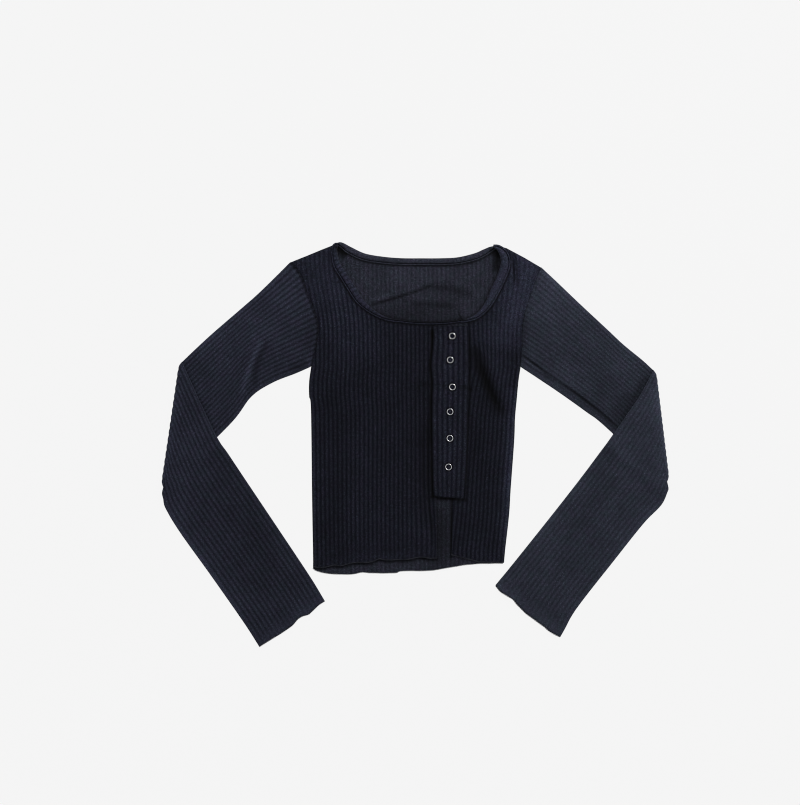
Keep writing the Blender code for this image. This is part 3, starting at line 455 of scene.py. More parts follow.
# Streaks of painted light and shade on each piece: painted shade in creases, hollows and beside
# raised edges, and painted light where the light falls fullest.
PAINTED_LIGHT_FRONT = table(
    Tone,
    (81, 138, 122, 38, -2.2, 8, -2),
    (89, 110, 118, 46, -0.8, 4.5, -1),
    (23.5, 162, 26, 145, 0, 2.4, -2.5),
    (20, -74.8, 74, -79.6, 0, 1.6, -3.6),
    (75.8, 170, 76.2, 20, 0, 1.8, -1.2),
    (74.6, 60, 69.4, -84, 0, 1.8, -1.2),
    (16.8, 42, 17.4, -80, 0, 1.9, -1.1),
    (9.8, 30, 10.4, -80, 0, 1.7, -0.8),
    (17, -70, 25, -142, 1, 2, -0.9),
    (0, 82, 24, 82.4, 0, 3, -0.7),
    (69, 78, 79, 74, 0, 2.6, -1.8),
    (12, 110, 12, -120, 0, 16, -0.4),
    (-110, 80, -108, -130, 0, 16, -0.3),
    (135, 268, 138, 222, 1, 1.4, -1.5),
    (139.4, 268, 141.6, 222, 1, 1.3, -1.3),
    (90, 170, 138, 60, -4, 18, 0.5),
    (-190, 330, -60, 110, 0, 50, 0.9),
    (174, 335, 126, 130, 0, 36, 1.5),
    (-130, 20, 0, -170, 0, 60, 0.28),
    (78, 30, 92, -80, 0, 18, -0.25),
    (60, -150, 118, -160, 0, 16, 0.35),
    (-130, -166, 20, -154, 0, 7, 0.3))
SOFT_FRONT = table(       # where the ribs' painted valley shade is faded and they hardly show
    Tone,
    (190, 330, 130, 130, 0, 38, 0.7),
    (-200, 330, -110, 190, 0, 40, 0.55),
    (-150, -158, 30, -150, 0, 12, 0.4),
    (145, 60, 130, -180, 0, 9, 0.5))
EDGE_LIGHT = table(       # painted light: the body's sides are painted lighter, as a rim light
    Tone,
    (138, 80, 125, -170, 0, 9, 1.35),
    (-147, 96, -142, -168, 0, 7, 0.5))
PAINTED_LIGHT_BACK = table(
    Tone,
    (-114, 280, -96, 263, 0, 5.5, -4),
    (104, 271, 118, 264, 0, 5, -2.6),
    (118, 270, 113, 240, -2, 5, -2.6),
    (-66, 193.6, 24, 221.8, -1.5, 1.7, -1.9),
    (8, 220, 82, 208, 3, 6, -0.8),
    (-6, 196, 54, 193, 0, 3.6, -0.9),
    (-62, 182, 66, 186, -3, 14, -0.6),
    (-66, 199, -36, 207, 0, 3, 0.6),
    (60, 182.5, 65.5, 170, 1, 1.1, -1.8),
    (-90, 240, 90, 240, 0, 22, 0.3),
    (20, -75.6, 74, -80, 0, 1.9, -3.4),
    (40, -60, 40, -185, 0, 14, -0.85),
    (31, -84, 33, -168, 0, 5, -0.7),
    (51.4, -70, 50, -166, 0, 1.5, -3))
PAINTED_LIGHT_BAND = table(
    Tone,
    (-114, 276, -100, 269, 0, 3.4, -1.8),
    (103, 270, 112, 271, 0, 3, -1.6),
    (30, 172, 70, 173, 0, 3, -0.4))
PAINTED_LIGHT_STRIP = table(
    Tone,
    (23.5, 162, 26, 145, 0, 2, -2),
    (26, 81.6, 46, 80.6, 0, 3, -0.6),
    (60, 80, 74, 77, 0, 3, -0.8),
    (47, 160, 46, -30, 0, 12, 0.2))
PAINTED_LIGHT_RIGHT_ARM = table(
    Tone,
    (-176, 258, -330, 118, 0, 11, 0.55),
    (-150, 112, -178, 104, 0, 7, -0.8),
    (-144, 180, -148, 120, 0, 10, -0.5),
    (-206, 144, -226, 78, -6, 4, -0.8),
    (-213, 146, -244, 62, -5, 4, 0.85),
    (-328, 98, -286, 18, 0, 4, -0.9),
    (-150, 225, -300, 110, 0, 34, 0.3))
PAINTED_LIGHT_RIGHT_FORE = table(
    Tone,
    (-334, 118, -360, -60, 0, 11, 0.75),
    (-352, -84, -232, -272, 0, 9, 0.65),
    (-290, -20, -170, -235, 0, 40, -0.42))
SOFT_ARMS = table(
    Tone,
    (330, 80, 370, -90, 0, 30, 0.5),
    (-352, 80, -372, -90, 0, 22, 0.4),
    (160, 270, 270, 180, 0, 22, 0.3))
PAINTED_LIGHT_LEFT_ARM = table(
    Tone,
    (176, 252, 336, 110, 0, 12, 0.5),
    (174, 101, 286, 19, 4, 2, -1.1),
    (206, 84, 286, 20, 2, 1.8, -0.8),
    (147, 126, 184, 98, 0, 1.6, -1.6),
    (326, 98, 280, 16, 0, 5, -1),
    (150, 180, 152, 116, 0, 7, -0.4),
    (236, 96, 300, 44, 0, 16, -0.3),
    (302, 72, 266, 18, 0, 9, -0.6),
    (150, 260, 236, 180, 0, 30, 0.35))
PAINTED_LIGHT_LEFT_FORE = table(
    Tone,
    (262, 10, 352, -68, 0, 8, 0.3),
    (336, 106, 358, -56, 0, 16, 0.7),
    (352, -74, 220, -246, 0, 9, 0.45),
    (258, -20, 140, -170, 0, 8, 0.3),
    (290, -40, 210, -140, 0, 12, -0.25))


# ---- curves -----------------------------------------------------------------------------
def curve(rows, spacing):
    """A smooth curve through the rows, every column carried along, at an even spacing."""
    rows = np.array(rows, float)
    padded = np.vstack([2 * rows[0] - rows[1], rows, 2 * rows[-1] - rows[-2]])
    dense = []
    for before, start, end, after in zip(padded, padded[1:], padded[2:], padded[3:]):
        for t in np.linspace(0, 1, CURVE_STEPS, endpoint=False):
            dense.append(0.5 * (2 * start + (end - before) * t
                                + (2 * before - 5 * start + 4 * end - after) * t ** 2
                                + (3 * start - before - 3 * end + after) * t ** 3))
    dense = np.array(dense + [rows[-1]])
    along = travelled(dense[:, :2])
    count = max(2, int(round(along[-1] / spacing)) + 1)
    places = np.linspace(0, along[-1], count)
    return np.column_stack([np.interp(places, along, column) for column in dense.T])


def travelled(line):
    """The distance along a run of points, at each of them."""
    steps = np.linalg.norm(np.diff(line, axis=0), axis=1)
    return np.concatenate([[0], np.cumsum(steps)])


def unit(ways):
    """One direction, or a run of them, brought to a length of 1."""
    return ways / np.linalg.norm(ways, axis=-1, keepdims=True)


def leftward(ways):
    """Directions in plan, each turned a quarter to its left."""
    return np.stack([-ways[..., 1], ways[..., 0]], axis=-1)


def left_normals(points):
    """Unit normals to the left of a run of points in plan."""
    return leftward(unit(np.gradient(points[:, :2], axis=0)))


def band_edge(band, side, clearance, spacing=GUIDE_STEP):
    """The edge of a neck band: side 1 is on its left, -1 on its right."""
    line = curve(band, spacing)
    return line[:, :2] + left_normals(line) * (side * (line[:, 2:3] / 2 + clearance))


def smoothstep(value):
    """A soft step from 0 to 1 as the value goes from 0 to 1."""
    t = np.clip(value, 0.0, 1.0)
    return t * t * (3 - 2 * t)


def bell(gap, reach):
    """A soft bump: 1 where the gap is 0, fading out over the reach."""
    return np.exp(-(gap / reach) ** 2)


def nearest_on(points, line):
    """For each point, the distance to a run of segments and the share along it."""
    nearest = np.full(len(points), np.inf)
    share = np.zeros(len(points))
    along = travelled(line)
    for start, end, done in zip(line[:-1], line[1:], along):
        way = end - start
        length = math.hypot(*way)
        if length == 0:
            continue
        t = np.clip((points - start) @ way / length ** 2, 0, 1)
        gap = np.linalg.norm(points - start - t[:, None] * way, axis=1)
        closer = gap < nearest
        nearest = np.where(closer, gap, nearest)
        share = np.where(closer, done + t * length, share)
    return nearest, share / along[-1]


def distance_to(points, line):
    """The distance to a run of segments, exact near it and close to exact far away."""
    if len(line) < LONG_LINE:
        return nearest_on(points, line)[0]
    rough = np.vstack([line[::ROUGH_STRIDE], line[-1:]])
    gap = nearest_on(points, rough)[0]
    near = gap < EXACT_WITHIN
    gap[near] = nearest_on(points[near], line)[0]
    return gap


def from_edge(points, outline):
    """The distance to a closed outline, from inside it or outside."""
    return distance_to(points, np.vstack([outline, outline[:1]]))


def inside(points, outline):
    """Whether each point lies in a closed outline."""
    x, y = points[:, 0], points[:, 1]
    found = np.zeros(len(points), bool)
    for (x0, y0), (x1, y1) in zip(outline, np.roll(outline, -1, axis=0)):
        if y0 != y1:
            crosses = (y0 > y) != (y1 > y)
            found ^= crosses & (x < (x1 - x0) * (y - y0) / (y1 - y0) + x0)
    return found


def area_of(outline):
    """The area in a closed outline."""
    x, y = outline[:, 0], outline[:, 1]
    return abs(np.sum(x * np.roll(y, -1) - y * np.roll(x, -1))) / 2


def bowed(row, count=9):
    """The run of points along a fold: a straight line bowed to its left at the middle."""
    start, end = np.array([row.x0, row.y0], float), np.array([row.x1, row.y1], float)
    share = np.linspace(0, 1, count)[:, None]
    left = leftward(unit(end - start))
    return start + (end - start) * share + 4 * row.bend * share * (1 - share) * left


def over_rows(points, rows, amount):
    """The sum of soft streaks along the rows, each fading out to its ends and sides."""
    total = np.zeros(len(points))
    for row in rows:
        gap, share = nearest_on(points, bowed(row))
        total += getattr(row, amount) * bell(gap, row.width) * (
            np.clip(4 * share * (1 - share), 0, 1) ** 0.5)
    return total


def ribbed(number):
    """A rib's form over its number: broad rounded crests and narrow valleys."""
    wave = 0.5 - 0.5 * np.cos(TAU * number)
    return 1 - (1 - wave) ** RIB_FULLNESS


# ---- from the measured frame to the part's ----------------------------------------------
def outline_strip(spacing):
    """The placket's outline: down its sewn edge and up its free one."""
    return np.vstack([curve(STRIP_LEFT, spacing), curve(STRIP_RIGHT, spacing)])


def find_shift():
    """The measured frame's origin in the part's: both hold the placket's corner."""
    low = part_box("placket")[0]
    raw = outline_strip(2.0).min(axis=0)
    return np.array([low.x / MM - raw[0], low.y / MM - raw[1], 0.0])


SHIFT = find_shift()


def placed(points):
    """Points of the measured frame in the part's frame, in metres."""
    return (np.asarray(points, float) + SHIFT) * MM


# ---- meshes -----------------------------------------------------------------------------
def add_piece(name, points, faces, notes, finish, node=None):
    """A mesh on the garment: notes are numbers kept at each point for its finish."""
    mesh = bpy.data.meshes.new(name)
    mesh.from_pydata(placed(points).tolist(), [], [list(face) for face in faces])
    for key, values in notes.items():
        layer = mesh.attributes.new(key, "FLOAT", "POINT")
        layer.data.foreach_set("value", np.asarray(values, np.float32))
    mesh.shade_smooth()
    mesh.materials.append(finish)
    piece = bpy.data.objects.new(name, mesh)
    bpy.context.scene.collection.objects.link(piece)
    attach(piece, "root")
    if node:
        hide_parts(node)
    return piece


def triangulate(points, count):
    """Delaunay triangles inside the outline that the first points make, facing up."""
    outline = points[:count]
    result = delaunay_2d_cdt([tuple(point) for point in points], [], [list(range(count))], 0,
                             MERGE_WITHIN)
    flat = np.array([tuple(vertex) for vertex in result[0]])
    triangles = np.array([tuple(face) for face in result[2]])
    triangles = triangles[inside(flat[triangles].mean(axis=1), outline)]
    a, b, c = (flat[triangles[:, i]] for i in range(3))
    turn = (b[:, 0] - a[:, 0]) * (c[:, 1] - a[:, 1]) - (b[:, 1] - a[:, 1]) * (c[:, 0] - a[:, 0])
    triangles[turn < 0] = triangles[turn < 0][:, ::-1]
    return flat, triangles


def even(outline, spacing=EDGE_STEP):
    """A closed outline's points at an even spacing, its corners kept."""
    found = []
    for start, end in zip(outline, np.roll(outline, -1, axis=0)):
        length = np.linalg.norm(end - start)
        if length < spacing / 3:
            continue
        for t in np.linspace(0, 1, max(1, int(round(length / spacing))), endpoint=False):
            found.append(start + (end - start) * t)
    return np.array(found)


def rings_within(outline, insets):
    """Points on lines that run inside an outline at the given distances from it."""
    inward = leftward(unit(np.roll(outline, -1, axis=0) - np.roll(outline, 1, axis=0)))
    if not inside(outline[:1] + inward[:1] * PROBE, outline)[0]:
        inward = -inward
    found = []
    for inset in insets:
        ring = outline + inward * inset
        good = inside(ring, outline) & (from_edge(ring, outline) > inset * INSET_SLACK)
        found.append(ring[good])
    return np.vstack(found)


def shell(outline, fill, spacing):
    """A flat cloth panel's points and triangles, its two faces sharing their edge.

    fill are the points on the upper face, and spacing is that of the points on the lower
    one. It gives the plan of all points, their side (1 upper, -1 lower, 0 on the edge) and
    the triangles.
    """
    rim = rings_within(outline, RIM_INSETS)
    fill = fill[inside(fill, outline) & (from_edge(fill, outline) > RIM_CLEAR)]
    upper, top_faces = triangulate(np.vstack([outline, rim, fill]), len(outline))
    low, high = outline.min(axis=0), outline.max(axis=0)
    x, y = np.meshgrid(np.arange(low[0], high[0], spacing), np.arange(low[1], high[1], spacing))
    grid = np.column_stack([x.ravel(), y.ravel()])
    grid = grid[inside(grid, outline) & (from_edge(grid, outline) > spacing / 2)]
    inner = rings_within(outline, LOWER_INSETS)
    lower, low_faces = triangulate(np.vstack([outline, inner, grid]), len(outline))
    edge = len(outline)
    assert np.allclose(upper[:edge], lower[:edge]), "the two faces don't share their edge"
    first = len(upper) - edge
    low_faces = np.where(low_faces < edge, low_faces, low_faces + first)[:, ::-1]
    plan = np.vstack([upper, lower[edge:]])
    side = np.repeat([0.0, 1.0, -1.0], [edge, len(upper) - edge, len(lower) - edge])
    return plan, side, np.vstack([top_faces, low_faces])


def rounding(gap):
    """How full the cloth's thickness is at a distance from its cut edge."""
    return np.sqrt(np.clip(1 - (1 - np.clip(gap / EDGE_ROUND, 0, 1)) ** 2, 0, 1))


def cloth_panel(name, outline, fill, number, under, wall, rib, painted_light, soft, finish,
                spacing=COARSE_STEP):
    """A knit panel on the form of its solid, with raised ribs.

    number(plan) gives the rib number, under(plan) the height of the lower face, rib(plan) how
    far the ribs stand up, and the painted light function how much lighter or darker the cloth is
    painted as light and shade. soft are the places where the ribs' painted valley shade is
    faded, and spacing is that of the points on the lower face.
    """
    plan, side, faces = shell(outline, fill, spacing)
    gap = from_edge(plan, outline)
    ribs = number(plan)
    half = rounding(gap) * wall / 2
    raised = rib(plan) * ribbed(ribs) * smoothstep(gap / RIB_START)
    height = under(plan) + wall / 2 + side * half + np.where(side > 0, raised, 0)
    notes = {"rib": ribs, "along": plan[:, 1], "painted_light": painted_light(plan),
             "soft": over_rows(plan, soft, "light")}
    piece = add_piece(name + "_knit", np.column_stack([plan, height]), faces, notes, finish,
                      name)
    size = outline.max(axis=0) - outline.min(axis=0)
    return piece, (size[0] * MM, size[1] * MM), area_of(outline) * MM ** 2


def grid_faces(rings, size, joined=False):
    """Quads between rings of points, and from the last ring to the first where joined."""
    ring = np.arange(rings if joined else rings - 1)[:, None] * size
    following = (ring + size) % (rings * size)
    i = np.arange(size)[None, :]
    j = (i + 1) % size
    return np.stack([ring + i, ring + j, following + j, following + i], axis=2).reshape(-1, 4)


# ---- finishes ---------------------------------------------------------------------------
class Yarn:
    """A socket in a finish. Arithmetic on it adds Math nodes."""

    def __init__(self, tree, socket=None):
        self.tree = tree
        self.socket = socket

    def add(self, kind, settings=None, inputs=None, output=0):
        """Adds a node: its settings first, then the values or links of its sockets."""
        node = self.tree.nodes.new(kind)
        for key, value in (settings or {}).items():
            setattr(node, key, value)
        for key, value in (inputs or {}).items():
            if isinstance(value, Yarn):
                self.tree.links.new(value.socket, node.inputs[key])
            else:
                node.inputs[key].default_value = value
        return Yarn(self.tree, node.outputs[output])

    def math(self, operation, *values):
        return self.add("ShaderNodeMath", {"operation": operation}, dict(enumerate(values)))

    def __add__(self, other):
        return self.math("ADD", self, other)

    __radd__ = __add__

    def __sub__(self, other):
        return self.math("SUBTRACT", self, other)

    def __rsub__(self, other):
        return self.math("SUBTRACT", other, self)

    def __mul__(self, other):
        return self.math("MULTIPLY", self, other)

    __rmul__ = __mul__

    def __truediv__(self, other):
        return self.math("DIVIDE", self, other)

    def __pow__(self, other):
        return self.math("POWER", self, other)

    def __rpow__(self, other):
        return self.math("POWER", other, self)

    def fraction(self):
        return self.math("FRACT", self)

    def size(self):
        return self.math("ABSOLUTE", self)

    def cosine(self):
        return self.math("COSINE", self)

    def clamped(self):
        return self.math("MAXIMUM", self.math("MINIMUM", self, 1.0), 0.0)

    def note(self, key):
        """The number that a mesh keeps at each point under this key."""
        return self.add("ShaderNodeAttribute", {"attribute_name": key}, output="Fac")

    def noise(self, grain):
        """Soft noise from 0 to 1 whose grains are about this many millimetres."""
        place = self.add("ShaderNodeTexCoord", output="Object")
        return self.add("ShaderNodeTexNoise", {}, {
            "Vector": place, "Scale": 1 / (grain.size * MM), "Detail": grain.detail})

    def blend(self, share, low, high):
        """A colour between two others."""
        return self.add("ShaderNodeMix", {"data_type": "RGBA"}, {0: share, 6: low, 7: high}, 2)

    def times(self, colour, other):
        """Two colours multiplied, channel by channel."""
        return self.add("ShaderNodeVectorMath", {"operation": "MULTIPLY"}, {0: colour, 1: other})

    def tinted(self, colour, brightness):
        """A colour made brighter or darker."""
        grey = self.add("ShaderNodeCombineXYZ", {}, {0: brightness, 1: brightness, 2: brightness})
        return self.times(colour, grey)

    def bump(self, strength, distance, height):
        """Fine relief, its distance in millimetres."""
        return self.add("ShaderNodeBump", {}, {
            "Strength": strength, "Distance": distance * MM, "Height": height})


def new_finish(name, sockets):
    """A Principled finish: what is the same all over is set on the shader's own sockets."""
    finish = bpy.data.materials.new(name)
    finish.use_nodes = True
    shader = finish.node_tree.nodes["Principled BSDF"]
    for key, value in sockets.items():
        shader.inputs[key].default_value = value
    return finish, shader, Yarn(finish.node_tree)


def connect(finish, shader, links):
    """Links what changes over the surface to the shader's sockets."""
    for key, value in links.items():
        finish.node_tree.links.new(value.socket, shader.inputs[key])


WALES_PER_RIB = 6        # knit columns across one rib and its valley
COURSE = 1.05            # one row of stitches along a rib
STITCH_SLANT = 0.55      # how far a stitch's arms lean along the rib
STITCH_DEPTH = 0.22
STITCH_DARK = 0.82       # painted shade between the stitches
STITCH_LIGHT = 0.22      # and how much lighter the stitches are painted, as the light on them
VALLEY_WIDTH = 0.9       # under 1 the valleys, painted dark as shade, are narrower than the crests
SOFT_SHADE = 0.6         # the one shade of ribs that hardly show

# Noise: the size of its grains, its detail, and how strongly it shows.
Grain = namedtuple("Grain", "size detail stops", defaults=[0.0])
FINE = Grain(1.5, 1.0, 4.2)
FUZZ = Grain(3.4, 2.0, 2.6)
CLOUD = Grain(34.0, 3.0, 1.0)
LINT = Grain(1.1, 0.0, 1.1)
LINT_FROM = 0.71         # only the peaks of its noise are lint
LINT_EDGE = 14.0         # and how sharply each speck ends
HUE = Grain(9.0, 4.0, 3.0)
GREENER = (0.93, 1.03, 0.97, 1.0)
REDDER = (1.07, 0.97, 1.04, 1.0)
PLY = Grain(0.5, 2.0)
MARKS = Grain(0.7, 3.0)
SHEEN_CLOUD = Grain(4.0, 2.0)

# A crest has the yarn's own colour; a valley is painted darker, as the shade in it. The other
# pairs have crests of about the same colour and valleys painted less dark: for the sleeves, and
# for the back's inner face.
CREST = (0.0220, 0.0238, 0.0380, 1.0)
VALLEY = (0.0066, 0.0072, 0.0156, 1.0)
SOFT_VALLEY = (0.0098, 0.0108, 0.0180, 1.0)
FAINT_SHADE_CREST = (0.0212, 0.0238, 0.0350, 1.0)
FAINT_SHADE_VALLEY = (0.0134, 0.0151, 0.0228, 1.0)
INSIDE_CREST = (0.0241, 0.0257, 0.0378, 1.0)
INSIDE_VALLEY = (0.0162, 0.0174, 0.0262, 1.0)
THREAD_DARK = (0.010, 0.011, 0.018, 1.0)
THREAD_LIGHT = (0.026, 0.029, 0.045, 1.0)
PLATE_DARK = (0.80, 0.81, 0.83, 1.0)
PLATE_LIGHT = (0.93, 0.93, 0.94, 1.0)


def knit_finish(name, crest, valley, grain, depth):
    """Rib knit: rows of small V stitches painted lighter than the gaps between them, valleys
    painted dark as their shade, and a slightly uneven yarn.

    grain is how strongly the yarn's grain shows, depth how deep its stitches look.
    """
    finish, shader, yarn = new_finish(name, {
        "Roughness": 0.85, "Specular IOR Level": 0.08, "Sheen Weight": 0.03,
        "Sheen Roughness": 0.5})
    number = yarn.note("rib")
    wale = number * WALES_PER_RIB
    slant = ((wale.fraction() - 0.5) * 2).size()
    arm = ((wale * 2).fraction() - 0.5) * 2
    course = (yarn.note("along") / COURSE - slant * STITCH_SLANT).fraction()
    across = 1 - arm * arm
    over = 1 - ((course - 0.5) * 2) ** 2
    stitch = across.clamped() ** 0.5 * over.clamped() ** 0.7

    # Painted shade: the valleys are darker than the crests, less so where the soft note says the
    # ribs hardly show.
    ridge = (0.5 - (number * TAU).cosine() * 0.5) ** VALLEY_WIDTH
    shown = ridge + (SOFT_SHADE - ridge) * yarn.note("soft")
    fine, fuzz = yarn.noise(FINE), yarn.noise(FUZZ)
    lint = ((yarn.noise(LINT) - LINT_FROM) * LINT_EDGE).clamped()
    # The yarn's own uneven grain, lint and cloud, plus the painted light and shade kept at each
    # point; the stitches are painted lighter than the gaps between them.
    stops = ((fine - 0.5) * (FINE.stops * grain) + (fuzz - 0.5) * (FUZZ.stops * grain)
             + (yarn.noise(CLOUD) - 0.5) * CLOUD.stops + lint * LINT.stops + yarn.note("painted_light"))
    light = (STITCH_DARK + stitch * STITCH_LIGHT) * 2.0 ** stops
    hue = ((yarn.noise(HUE) - 0.5) * HUE.stops + 0.5).clamped()
    colour = yarn.times(yarn.blend(shown, valley, crest), yarn.blend(hue, GREENER, REDDER))
    connect(finish, shader, {
        "Base Color": yarn.tinted(colour, light),
        "Roughness": 0.78 + fine * 0.16,
        "Normal": yarn.bump(depth, STITCH_DEPTH, stitch + fine * 0.5 + fuzz * 0.4)})
    return finish


def thread_finish():
    """Sewing thread: fine twisted plies, a little shinier than the knit."""
    finish, shader, yarn = new_finish("edge_thread", {
        "Roughness": 0.6, "Specular IOR Level": 0.35, "Sheen Weight": 0.05})
    ply = yarn.noise(PLY)
    connect(finish, shader, {
        "Base Color": yarn.blend(ply, THREAD_DARK, THREAD_LIGHT),
        "Roughness": 0.5 + ply * 0.2,
        "Normal": yarn.bump(0.5, 0.1, ply)})
    return finish


def metal_finish():
    """Bright plated ring with fine handling marks."""
    finish, shader, yarn = new_finish("snap_plating", {"Metallic": 1.0, "Roughness": 0.2})
    marks = yarn.noise(MARKS)
    connect(finish, shader, {
        "Base Color": yarn.blend(yarn.noise(SHEEN_CLOUD), PLATE_DARK, PLATE_LIGHT),
        "Roughness": 0.16 + marks * 0.18,
        "Normal": yarn.bump(0.25, 0.03, marks)})
    return finish


# Copies of one knit that differ in how dark their valleys are painted as shade, and in grain and
# stitch depth.
KNIT = knit_finish("rib_knit", CREST, VALLEY, 0.8, 0.8)
KNIT_SOFT = knit_finish("rib_knit_soft", CREST, SOFT_VALLEY, 0.5, 0.7)
KNIT_FAINT_SHADE = knit_finish("rib_knit_faint_shade", FAINT_SHADE_CREST, FAINT_SHADE_VALLEY, 0.45, 0.7)
KNIT_INSIDE = knit_finish("rib_knit_inside", INSIDE_CREST, INSIDE_VALLEY, 0.75, 0.8)
THREAD = thread_finish()
PLATING = metal_finish()


# ---- body -------------------------------------------------------------------------------
def side_x(side, y):
    """The side seam's x at each height, held beyond its ends."""
    rows = sorted((place.y, place.x) for place in side)
    return np.interp(y, [row[0] for row in rows], [row[1] for row in rows])


def spread_at(spread, y):
    """How much wider the ribs are at each height than at the chest."""
    return 1 + spread.share * smoothstep((y - spread.start) / spread.reach)


def rib_x_right(number, y):
    """Ribs of the right front, counted from the front edge; they spread to the shoulder."""
    count = round((FRONT_EDGE_X - SIDE_RIGHT[0].x) / RIB_PITCH)
    pitch = (FRONT_EDGE_X - side_x(SIDE_RIGHT, y)) / count
    return FRONT_EDGE_X - number * pitch * spread_at(SPREAD_RIGHT, y)


def rib_x_left(number, y):
    """Ribs of the left front, counted from the side; above the chest they lean outward."""
    anchor = STRIP_RIGHT[-1].x
    underarm = SIDE_LEFT[0]
    spread = spread_at(SPREAD_LEFT, y)
    over = anchor + (underarm.x - anchor) * spread
    return np.where(y > underarm.y, over, side_x(SIDE_LEFT, y)) - number * RIB_PITCH * spread


def rib_x_back(number, y):
    """Ribs of the back, all upright."""
    return number * RIB_PITCH + 0 * y


def rib_x_strip(number, y):
    """Ribs of the placket, which widens in its middle."""
    left = side_x(STRIP_LEFT, y)
    return left + (side_x(STRIP_RIGHT, y) - left) * number / STRIP_RIBS


def sway(x, y):
    """How far the ribs are pushed sideways at a place."""
    total = 0 * x
    for row in SWAYS:
        total = total + row.push * np.exp(
            -((x - row.x) / row.reach_x) ** 2 - ((y - row.y) / row.reach_y) ** 2)
    return total


def rib_points(rib_x, first, last, outline, per_rib=PER_RIB, step=ROW_STEP):
    """A grid of points that follows the ribs over an outline's height."""
    numbers = np.arange(first * per_rib, last * per_rib + 1) / per_rib
    number, y = np.meshgrid(numbers, np.arange(outline[:, 1].min(), outline[:, 1].max(), step))
    return np.column_stack([rib_x(number, y).ravel(), y.ravel()])


def number_of(rib_x, plan):
    """The rib number at each point."""
    x, y = plan[:, 0], plan[:, 1]
    first, second = rib_x(0.0, y), rib_x(1.0, y)
    return (x - first) / (second - first)


def outline_front_right():
    """The right front ends at the front edge, under the placket."""
    neck = band_edge(BAND_RIGHT, -1, -BAND_OVERLAP, EDGE_STEP)
    neck = neck[(neck[:, 0] < FRONT_EDGE_X - 2) & (neck[:, 1] < NECK_TOP_RIGHT)]
    return even(np.vstack([
        curve(ARMHOLE_RIGHT, EDGE_STEP), curve(SIDE_RIGHT, EDGE_STEP)[1:],
        curve(HEM_FRONT_RIGHT, EDGE_STEP), [(FRONT_EDGE_X, UNDERLAP_TOP)], neck[::-1],
        SHOULDER_RIGHT[::-1]]))


def outline_front_left():
    """The left front reaches in under the placket, and ends at the slit below it."""
    edge = FRONT_EDGE_X + FRONT_GAP
    neck = band_edge(BAND_LEFT, -1, -BAND_OVERLAP, EDGE_STEP)
    neck = neck[(neck[:, 1] < NECK_TOP_LEFT) & (neck[:, 0] > STRIP_RIGHT[-1].x)]
    return even(np.vstack([
        [(edge, UNDERLAP_TOP), (edge, UNDERLAP_FOOT), (SLIT[0].x, UNDERLAP_FOOT)], SLIT,
        curve(HEM_FRONT_LEFT, EDGE_STEP), curve(SIDE_LEFT, EDGE_STEP)[:0:-1],
        curve(ARMHOLE_LEFT, EDGE_STEP)[::-1], SHOULDER_LEFT[::-1], neck[::-1],
        [(STRIP_RIGHT[-1].x - UNDERLAP_CORNER, UNDERLAP_TOP)]]))


def outline_back():
    """The back, between the same seams as the fronts, with its own hem and neck."""
    neck = band_edge(BAND_BACK, -1, -BAND_OVERLAP, EDGE_STEP)
    return even(np.vstack([
        curve(ARMHOLE_RIGHT, EDGE_STEP), curve(SIDE_RIGHT, EDGE_STEP)[1:],
        curve(HEM_BACK, EDGE_STEP), curve(SIDE_LEFT, EDGE_STEP)[:0:-1],
        curve(ARMHOLE_LEFT, EDGE_STEP)[::-1], SHOULDER_LEFT[::-1], NECK_CORNER_LEFT,
        neck[::-1], NECK_CORNER_RIGHT, SHOULDER_RIGHT[::-1]]))


def near_seams(plan):
    """The distance to the seams that join a front to the back and to the sleeves."""
    seams = [curve(ARMHOLE_RIGHT, GUIDE_STEP), curve(SIDE_RIGHT, COARSE_GUIDE),
             curve(ARMHOLE_LEFT, GUIDE_STEP), curve(SIDE_LEFT, COARSE_GUIDE),
             np.array(SHOULDER_RIGHT, float), np.array(SHOULDER_LEFT, float)]
    return np.min([distance_to(plan, seam) for seam in seams], axis=0)


def hem_flutter(plan, hem, reach, amount):
    """A lettuce hem's edge rises and falls in short uneven waves."""
    line = curve(hem, GUIDE_STEP)
    gap, share = nearest_on(plan, line)
    length = travelled(line)[-1] * share
    wave = sum(row.amount * np.sin(length * TAU / row.length + row.phase) for row in FLUTTER)
    return amount * (FLUTTER_MEAN + (1 - FLUTTER_MEAN) * wave) * bell(gap, reach)


def front_rise(plan, outline, strip):
    """How far a front stands off the back: nothing at its edges and under the placket."""
    rise = smoothstep(from_edge(plan, outline) / PUFF_REACH) ** PUFF_ROUND
    to_strip = from_edge(plan, strip)
    rise *= np.where(inside(plan, strip), 0.0, smoothstep((to_strip - PUFF_CLEAR) / PUFF_REACH))
    return PUFF * rise


